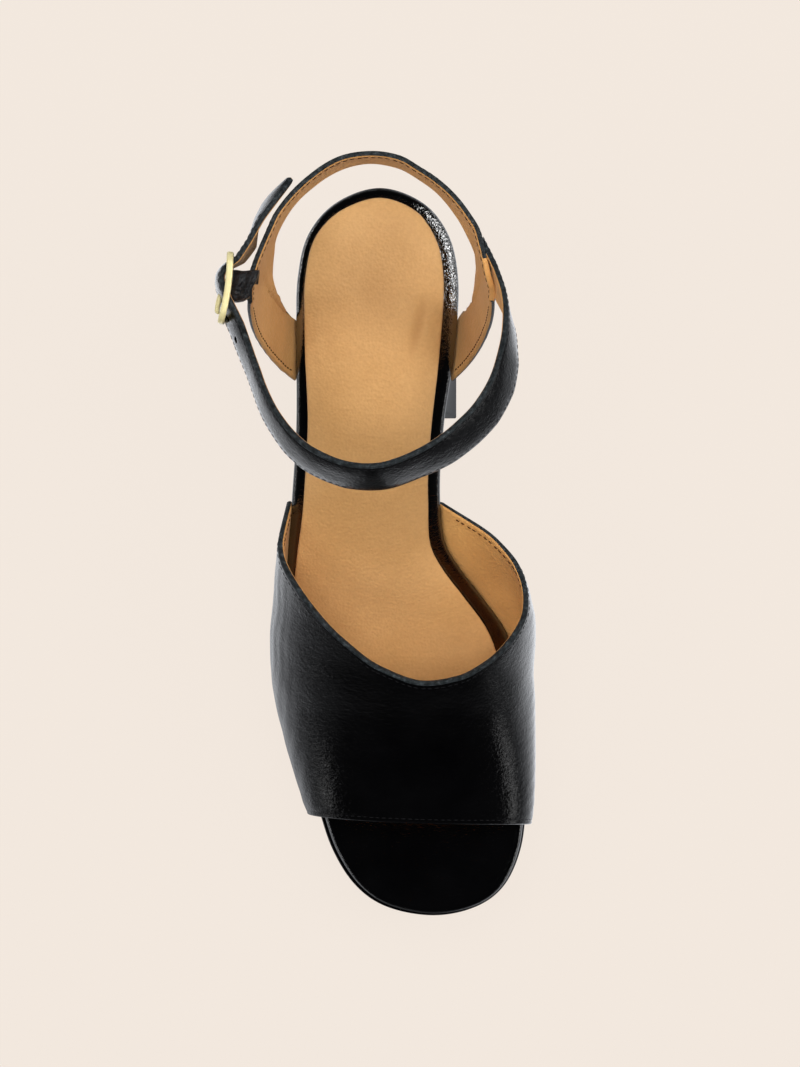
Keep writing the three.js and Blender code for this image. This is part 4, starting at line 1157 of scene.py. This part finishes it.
def makeBuckle():
    half = buckle["height"] / 2 - buckle["bar"]
    corner = buckle["corner"] - buckle["bar"]
    loop = []
    for number, (sx, sy) in enumerate(((1, 1), (-1, 1), (-1, -1), (1, -1))):
        for i in range(11):
            angle = math.pi / 2 * (number + i / 10)
            x = sx * (endBar - corner) + corner * math.cos(angle)
            loop.append(Vector((x, sy * (half - corner) + corner * math.sin(angle), bowAt(x))))
        if number % 2 == 0:
            for k in range(1, 12):
                x = sx * (endBar - corner) * (1 - k / 6)
                loop.append(Vector((x, sy * half, bowAt(x))))
    frameBar = [(p, a, b, buckle["bar"]) for p, a, b in sidesOf(loop, True)]
    addPiece(barMesh(frameBar, 5, True), "buckle_bars", [gold], ["buckle_frame"])

    middle = [Vector((0, y * half, -buckle["bow"])) for y in (-1, -0.5, 0, 0.5, 1)]
    addPiece(barMesh([(p, a, b, buckle["bar"] * 0.9) for p, a, b in sidesOf(middle, False)]),
             "buckle_middle_bar", [gold])

    ringRadius = buckle["bar"] + gap + buckle["prong"]
    circle = [Vector((math.cos(a), 0, math.sin(a))) * ringRadius - Vector((0, 0, buckle["bow"]))
              for a in (2 * math.pi * k / 32 for k in range(32))]
    ring = []
    for i, point in enumerate(circle):
        out = (point + Vector((0, 0, buckle["bow"]))).normalized()
        ring.append((point, out, Vector((0, 1, 0)), buckle["prong"] * 0.9))
    root = Vector((ringRadius * 0.6, 0, -buckle["bow"] + ringRadius * 0.75))
    tip = Vector((endBar - 2.5 * mm, 0, buckle["bar"] + 0.55 * buckle["prong"]))
    rod = []
    for k in range(25):
        t = k / 24
        point = root.lerp(tip, min(t / 0.88, 1)) + Vector((0.8, 0, -0.25)) * mm * max(0, (t - 0.88) / 0.12)
        taper = mix(1, 0.78, t) * math.sqrt(clamp((1 - t) / 0.1) * (2 - clamp((1 - t) / 0.1)) + 1e-9)
        point.z += 0.35 * mm * math.sin(math.pi * t)
        rod.append((point, Vector((0, 1, 0)), Vector((0, 0, 1)), buckle["prong"] * taper))
    prong = barMesh(ring, 2.2, True)
    other = barMesh(rod, 2.4)
    spare = bpy.data.meshes.new("prongRod")
    other.to_mesh(spare)
    other.free()
    prong.from_mesh(spare)
    bpy.data.meshes.remove(spare)
    addPiece(prong, "buckle_tongue", [gold], ["buckle_prong"])


makeBuckle()

# The chape: leather folded round the middle bar, spreading where it lies on the tab
chapeRows = table(
    "s x wide z high",
    (0, -0.2, 2.2, 0.4, 4.4), (0.22, -1.6, 4, -1.2, 4.9), (0.45, -1, 4.8, -3.6, 5.1), (0.75, -1.6, 4.9, -6.2, 5.0),
    (1, -2.4, 4.3, -8.3, 4.5),
)


def makeChape():
    def place(u, v):
        s = clamp((v - 0.04) / 0.92)
        closing = math.sqrt(clamp(v / 0.04)) * math.sqrt(clamp((1 - v) / 0.04))
        angle = 2 * math.pi * u
        c, k = math.cos(angle), math.sin(angle)
        spread = (abs(c) ** 5 + abs(k) ** 5) ** (-1 / 5)
        x = read(chapeRows, "x", s, "s") + read(chapeRows, "wide", s, "s") * c * spread * closing
        y = -buckle["chapeDrop"] / mm + read(chapeRows, "high", s, "s") * k * spread * closing
        z = read(chapeRows, "z", s, "s") + 0.25 * s * read(chapeRows, "wide", s, "s") * c
        fold = 0.4 * math.sin(s * 19 + c * 1.6) * smooth((s - 0.15) / 0.2) * abs(k) * closing
        return bucklePlace @ (Vector((x, y + fold, z)) * mm)

    bm = sheetMesh(48, 40, place)
    bmesh.ops.remove_doubles(bm, verts=bm.verts, dist=1e-6)
    bmesh.ops.recalc_face_normals(bm, faces=bm.faces)
    addPiece(bm, "chape_fold", [chapeLeather], ["buckle_chape"])


makeChape()
print("buckle built")


def walk(place, count=500):
    points = [place(k / count) for k in range(count + 1)]
    lengths = [0]
    for a, b in zip(points, points[1:]):
        lengths.append(lengths[-1] + (b[0] - a[0]).length)
    return points, lengths


# One stitch is a small stretched ball; a row of them is copied from its mesh
def makeStitches(name, rows, pitch, length, thick, material, seed):
    chance = random.Random(seed)
    ball = bmesh.new()
    bmesh.ops.create_uvsphere(ball, u_segments=7, v_segments=5, radius=1)
    stitch = bpy.data.meshes.new("stitch")
    ball.to_mesh(stitch)
    ball.free()
    bm = bmesh.new()
    for place in rows:
        points, lengths = walk(place)
        at = pitch / 2
        while at < lengths[-1]:
            k = min(max(bisect_left(lengths, at), 1), len(points) - 1)
            point, out = points[k]
            along = (points[k][0] - points[k - 1][0]).normalized()
            across = out.cross(along).normalized()
            turn = Matrix((along, across, along.cross(across))).transposed().to_4x4()
            wobble = Matrix.Rotation(math.radians(chance.uniform(-5, 5)), 4, "Z")
            size = Matrix.Diagonal((length / 2 * chance.uniform(0.92, 1.06), thick, thick * 0.8, 1))
            shape = Matrix.Translation(point) @ turn @ wobble @ size
            stitch.transform(shape)
            bm.from_mesh(stitch)
            stitch.transform(shape.inverted())
            at += pitch
    bpy.data.meshes.remove(stitch)
    addPiece(bm, name, [material])


def stitchLine(face, plain, sign, wall, route, start=0.0, end=1.0):
    def at(t):
        u, v = route(mix(start, end, t))
        out = normalAt(plain, u, v) * sign
        if wall:
            return face(u, v) - out * (wall + 0.03 * mm), -out
        return face(u, v), out
    return at


# A v that lies some way inside a sheet's edge, measured along the sheet
def besideEdge(place, distance, upper):
    def shareAt(u):
        whole = (place(u, 1) - place(u, 0)).length
        share = min(distance / max(whole, distance * 2.2), 0.45)
        return 1 - share if upper else share
    return shareAt


vampThroat = besideEdge(vampPoint, 2.0 * mm, False)
vampFront = besideEdge(vampPoint, 1.6 * mm, True)
quarterUpper = besideEdge(quarterPoint, 1.9 * mm, True)
ankleUpper = besideEdge(anklePoint, 1.7 * mm, True)
ankleLower = besideEdge(anklePoint, 1.7 * mm, False)

tanRows = [
    stitchLine(vampFace, vampPoint, vampSign, vamp["wall"], lambda t: (t, vampThroat(t)), 0.02, 0.98),
    stitchLine(quarterFace, quarterPoint, quarterSign, quarter["wall"], lambda t: (t, quarterUpper(t)),
               0.01, 0.99),
    stitchLine(quarterFace, quarterPoint, quarterSign, quarter["wall"], lambda t: (0.014, t), 0.06, 0.9),
    stitchLine(quarterFace, quarterPoint, quarterSign, quarter["wall"], lambda t: (0.986, t), 0.06, 0.9),
]
makeStitches("lining_stitches", tanRows, 2.15 * mm, 1.55 * mm, 0.27 * mm, brownThread, 3)
blackRows = [
    stitchLine(vampFace, vampPoint, vampSign, 0, lambda t: (t, vampThroat(t)), 0.02, 0.98),
    stitchLine(vampFace, vampPoint, vampSign, 0, lambda t: (t, vampFront(t)), 0.02, 0.98),
    stitchLine(quarterFace, quarterPoint, quarterSign, 0, lambda t: (t, quarterUpper(t)), 0.01, 0.99),
    stitchLine(ankleFace, anklePoint, ankleSign, 0, lambda t: (t, ankleUpper(t)), 0.0, 0.94),
    stitchLine(ankleFace, anklePoint, ankleSign, 0, lambda t: (t, ankleLower(t)), 0.0, 0.94),
]
makeStitches("outer_stitches", blackRows, 2.15 * mm, 1.6 * mm, 0.14 * mm, blackThread, 4)
print("stitches sewn")

bpy.context.scene.view_settings.view_transform = "Standard"
studio = {"floor": (0.905, 0.82, 0.743), "paper": (0.55, 0.5, 0.45), "mirrored": (1.25, 1.28, 1.34), "reach": 3.0,
          "flat": 0.94}


# Pale paper: the camera sees it mostly as an even glow and the shoe is lit by it as by real paper,
# while glossy rays see a cooler, brighter glowing copy: a painted reflection that fades with
# distance and is darkened beside the shoe as a painted shadow
def makeFloor():
    bm = bmesh.new()
    bmesh.ops.create_grid(bm, x_segments=1, y_segments=1, size=studio["reach"])
    mesh = bpy.data.meshes.new("floor")
    bm.to_mesh(mesh)
    bm.free()
    floor = bpy.data.objects.new("floor", mesh)
    bpy.context.scene.collection.objects.link(floor)
    material, tree, shader = newMaterial("floor_paper")
    shader.inputs["Base Color"].default_value = (*studio["paper"], 1)
    shader.inputs["Roughness"].default_value = 1
    shader.inputs["Specular IOR Level"].default_value = 0
    even = tree.nodes.new("ShaderNodeEmission")
    even.inputs["Color"].default_value = (*studio["floor"], 1)
    path = tree.nodes.new("ShaderNodeLightPath")
    share = tree.nodes.new("ShaderNodeMath")
    share.operation = "MULTIPLY"
    share.inputs[1].default_value = studio["flat"]
    both = tree.nodes.new("ShaderNodeMixShader")
    cool = tree.nodes.new("ShaderNodeEmission")
    place = objectCoords(tree, (3, 2, 0))
    place.node.inputs["Location"].default_value = (0, 0.14, 0)
    away = tree.nodes.new("ShaderNodeVectorMath")
    away.operation = "LENGTH"
    link(tree, place, away.inputs[0])
    # Painted reflection: the mirrored glow fades with distance from the shoe
    far = rampOf(tree, away.outputs["Value"], (0.3, (1, 1, 1)), (0.5, (0.5, 0.5, 0.5)), (1.0, (0.12, 0.12, 0.12)))
    sideways = tree.nodes.new("ShaderNodeSeparateXYZ")
    link(tree, place, sideways.inputs["Vector"])
    beside = tree.nodes.new("ShaderNodeMath")
    beside.operation = "ABSOLUTE"
    link(tree, sideways.outputs["X"], beside.inputs[0])
    # Painted shadow: the mirrored glow is darkened close beside the shoe
    near = rampOf(tree, beside.outputs[0], (0.11, (0.12, 0.12, 0.12)), (0.19, (1, 1, 1)))
    seen = mixColor(tree, 1.0, mixColor(tree, 1.0, far, near, "MULTIPLY"), studio["mirrored"], "MULTIPLY")
    link(tree, seen, cool.inputs["Color"])
    others = tree.nodes.new("ShaderNodeMixShader")
    link(tree, path.outputs["Is Glossy Ray"], others.inputs["Fac"])
    link(tree, shader.outputs["BSDF"], others.inputs[1])
    link(tree, cool.outputs["Emission"], others.inputs[2])
    link(tree, path.outputs["Is Camera Ray"], share.inputs[0])
    link(tree, share.outputs[0], both.inputs["Fac"])
    link(tree, others.outputs[0], both.inputs[1])
    link(tree, even.outputs["Emission"], both.inputs[2])
    link(tree, both.outputs[0], tree.nodes["Material Output"].inputs["Surface"])
    mesh.materials.append(material)


def makeSoftbox(name, place, target, width, height, power, mirrored=True):
    data = bpy.data.lights.new(name, "AREA")
    data.shape = "RECTANGLE"
    data.size = width
    data.size_y = height
    data.energy = power
    lamp = bpy.data.objects.new(name, data)
    bpy.context.scene.collection.objects.link(lamp)
    lamp.location = place
    lamp.rotation_euler = (Vector(target) - Vector(place)).to_track_quat("-Z", "Y").to_euler()
    lamp.visible_glossy = mirrored
    lamp.visible_camera = False
    return lamp


makeFloor()
makeSoftbox("ceiling", (0, 0.35, 2.2), (0, -0.07, 0), 1.6, 1.6, 52, mirrored=False)
makeSoftbox("fill_left", (-1.2, -0.2, 1.4), (0, -0.05, 0.08), 0.6, 0.6, 6.5, mirrored=False)
makeSoftbox("fill_right", (1.2, 0.1, 1.4), (0, -0.05, 0.08), 0.6, 0.6, 9, mirrored=False)
for name, side in (("strip_left", -1), ("strip_right", 1)):
    makeSoftbox(name, (1.1 * side, -0.05, 0.16), (0, -0.06, 0.06), 1.5, 0.12, 1.1).visible_diffuse = False
card = makeSoftbox("glint_card", (0.24, 0.03, 0.36), (0.024, 0.01, 0.085), 0.16, 0.2, 0.035)
card.visible_diffuse = False
card.data.spread = math.radians(36)

world = bpy.data.worlds.new("studio")
bpy.context.scene.world = world
world.use_nodes = True
sky = world.node_tree
coords = sky.nodes.new("ShaderNodeTexCoord")
parts = sky.nodes.new("ShaderNodeSeparateXYZ")
link(sky, coords.outputs["Generated"], parts.inputs["Vector"])
glow = rampOf(sky, parts.outputs["Z"], (0.0, (0.14, 0.14, 0.15)), (0.1, (0.06,) * 3), (0.24, (0.015,) * 3),
              (0.6, (0.002,) * 3))
backdrop = mixColor(sky, 0.5, glow, studio["floor"])
link(sky, sky.nodes.new("ShaderNodeLightPath").outputs["Is Camera Ray"], backdrop.node.inputs[0])
link(sky, backdrop, sky.nodes["Background"].inputs["Color"])
sky.nodes["Background"].inputs["Strength"].default_value = 1.0

view = {"x": 6.8 * mm, "y": -69 * mm, "z": 1.2, "focal": 3540, "tall": 1067}
cameraData = bpy.data.cameras.new("camera")
cameraData.sensor_width = 36
cameraData.lens = view["focal"] / view["tall"] * 36
cameraData.clip_start = 0.05
camera = bpy.data.objects.new("camera", cameraData)
bpy.context.scene.collection.objects.link(camera)
camera.location = (view["x"], view["y"], view["z"])
bpy.context.scene.camera = camera
print("studio ready")
